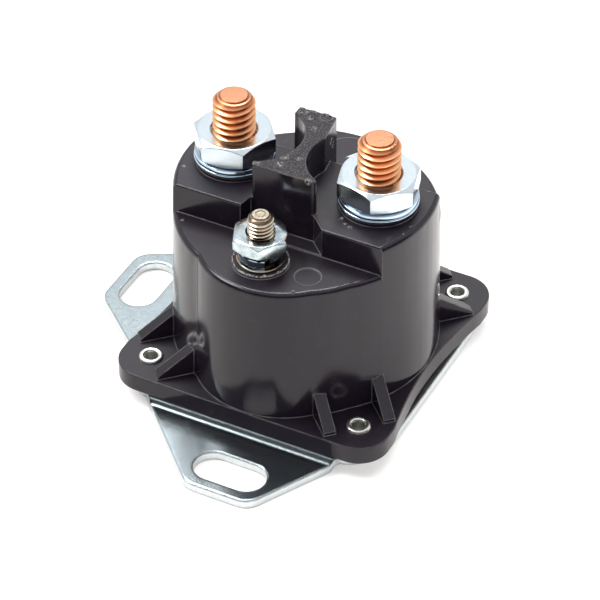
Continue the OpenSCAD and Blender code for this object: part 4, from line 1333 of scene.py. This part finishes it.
@dataclass
class Studio:
    """Floor, lamps, world and camera of a plain white product shot."""

    azimuth: float = 26.643
    elevation: float = 39.274
    roll: float = 0.301
    distance: float = 590.175
    aim_height: float = 25.0
    focal_px: float = 3200.0
    aim_px: Point2 = (306.606, 250.010)
    frame_px: float = 600.0
    lens: float = 192.0
    sensor: float = 36.0
    clip: Point2 = (0.01, 10.0)
    floor_r: float = 3.0
    floor_drop: float = 0.00002
    floor_paint: Colour = (0.84, 0.815, 0.785)
    floor_glow: float = 0.32
    glow_span: Point2 = (0.0, 0.045)
    glow_level: Point2 = (0.35, 1.3)
    sky: Colour = (0.97, 0.985, 1.0)
    sky_fill: float = 0.55
    screen_r: float = 1.6
    screen_h: float = 1.4
    screen_middle: float = 0.77
    screen_cloth: Colour = (0.02, 0.02, 0.022)
    lamps: tuple[Lamp, ...] = (
        Lamp("key", -75, 0.55, 0.75, 0.4, 5.5),
        Lamp("overhead", 160, 0.25, 1.0, 0.6, 5.0, shiny=False),
        Lamp("back", -150, 0.5, 0.95, 0.45, 8.0, matt=False),
        Lamp("front", 40, 0.9, 0.5, 0.5, 2.5, shiny=False),
        Lamp("right", 115, 0.5, 0.45, 0.5, 0.6, shiny=False),
    )

    def camera(self) -> None:
        """Sets the camera where the photograph's perspective puts it."""
        az, el, roll = (math.radians(v) for v in (self.azimuth, self.elevation, self.roll))
        back = Vector((math.sin(az) * math.cos(el), -math.cos(az) * math.cos(el), math.sin(el)))
        level = Vector((math.cos(az), math.sin(az), 0))
        upright = back.cross(level)
        right = math.cos(roll) * level + math.sin(roll) * upright
        up = math.cos(roll) * upright - math.sin(roll) * level
        half = self.frame_px / 2
        across = (self.aim_px[0] - half) / self.focal_px * self.distance
        above = (half - self.aim_px[1]) / self.focal_px * self.distance
        centre = Vector((0, 0, self.aim_height)) + back * self.distance - right * across - up * above
        data = bpy.data.cameras.new("camera")
        data.lens = self.lens
        data.sensor_width = self.sensor
        data.clip_start, data.clip_end = self.clip
        obj = bpy.data.objects.new("camera", data)
        turn = Matrix((right, up, back)).transposed()
        obj.matrix_world = Matrix.Translation(centre * MM) @ turn.to_4x4()
        bpy.context.scene.collection.objects.link(obj)
        bpy.context.scene.camera = obj

    def floor(self) -> None:
        """A pale floor that shows white where nothing shades it."""
        bpy.ops.object.select_all(action="DESELECT")
        bpy.ops.mesh.primitive_circle_add(
            vertices=96, radius=self.floor_r, fill_type="NGON", location=(0, 0, -self.floor_drop),
        )
        disc = bpy.context.active_object
        disc.name = "floor"
        material = bpy.data.materials.new("white floor")
        material.use_nodes = True
        g = Graph(material.node_tree)
        g.nodes.clear()
        path = g.add("ShaderNodeLightPath").outputs
        # the floor glows brighter on the camera's right for shiny surfaces only: a painted brighter
        # reflection there
        azimuth = math.radians(self.azimuth)
        along = g.add("ShaderNodeVectorMath", operation="DOT_PRODUCT")
        g.put(along.inputs[0], g.add("ShaderNodeTexCoord").outputs["Object"])
        along.inputs[1].default_value = (math.cos(azimuth), math.sin(azimuth), 0)
        side = g.remap(along.outputs["Value"], *self.glow_span, *self.glow_level, how="LINEAR")
        seen = g.math("MAXIMUM", path["Is Camera Ray"], g.times(path["Is Glossy Ray"], side))
        paint = g.add("ShaderNodeBsdfDiffuse")
        paint.inputs["Color"].default_value = (*self.floor_paint, 1)
        glow = g.add("ShaderNodeEmission")
        g.put(glow.inputs["Strength"], g.times(seen, self.floor_glow))
        both = g.add("ShaderNodeAddShader")
        g.put(both.inputs[0], paint.outputs[0])
        g.put(both.inputs[1], glow.outputs[0])
        g.put(g.add("ShaderNodeOutputMaterial").inputs["Surface"], both.outputs[0])
        disc.data.materials.append(material)

    def world(self) -> None:
        """White surroundings: plain fill light, and white for what the camera and metal see."""
        world = bpy.data.worlds.new("studio")
        bpy.context.scene.world = world
        world.use_nodes = True
        g = Graph(world.node_tree)
        background = g.nodes["Background"]
        background.inputs["Color"].default_value = (*self.sky, 1)
        path = g.add("ShaderNodeLightPath").outputs
        seen = g.math("MAXIMUM", path["Is Camera Ray"], path["Is Glossy Ray"], clamp=True)
        g.put(background.inputs["Strength"], g.remap(seen, 0.0, 1.0, self.sky_fill, 1.0, how="LINEAR"))

    def screen(self) -> None:
        """A dark screen behind the camera, as in a photographer's room, that only shiny surfaces show."""
        azimuth = math.radians(self.azimuth)
        bpy.ops.object.select_all(action="DESELECT")
        bpy.ops.mesh.primitive_cylinder_add(
            vertices=48, radius=self.screen_r, depth=self.screen_h, end_fill_type="NOTHING",
            location=(0, 0, self.screen_middle),
        )
        wall = bpy.context.active_object
        wall.name = "dark screen"
        Bench.settle(wall)
        with Bench.editing(wall):
            bpy.ops.mesh.select_all(action="SELECT")
            bpy.ops.mesh.bisect(
                plane_co=(0, 0, 0), plane_no=(math.sin(azimuth), -math.cos(azimuth), 0), clear_inner=True,
            )
        material = bpy.data.materials.new("dark cloth")
        material.use_nodes = True
        cloth = material.node_tree.nodes["Principled BSDF"]
        cloth.inputs["Base Color"].default_value = (*self.screen_cloth, 1)
        cloth.inputs["Roughness"].default_value = 1.0
        wall.data.materials.append(material)
        wall.visible_camera = wall.visible_diffuse = wall.visible_shadow = wall.visible_transmission = False

    def build(self) -> None:
        """Sets up the whole studio."""
        self.camera()
        self.floor()
        self.world()
        self.screen()
        for lamp in self.lamps:
            lamp.hang()
        bpy.context.scene.view_settings.view_transform = "Standard"


def main() -> None:
    """Builds the whole visual model and its studio."""
    logging.basicConfig(level=logging.INFO, format="%(name)s: %(message)s")
    Housing().build()
    Mounting().build()
    PowerTerminal("left", x=-STUD_X, nut_point=-50.9).build()
    PowerTerminal("right", x=STUD_X, nut_point=-75.2).build()
    ControlTerminal().build()
    Mechanism().build()
    Studio().build()


if __name__ == "__main__":
    main()
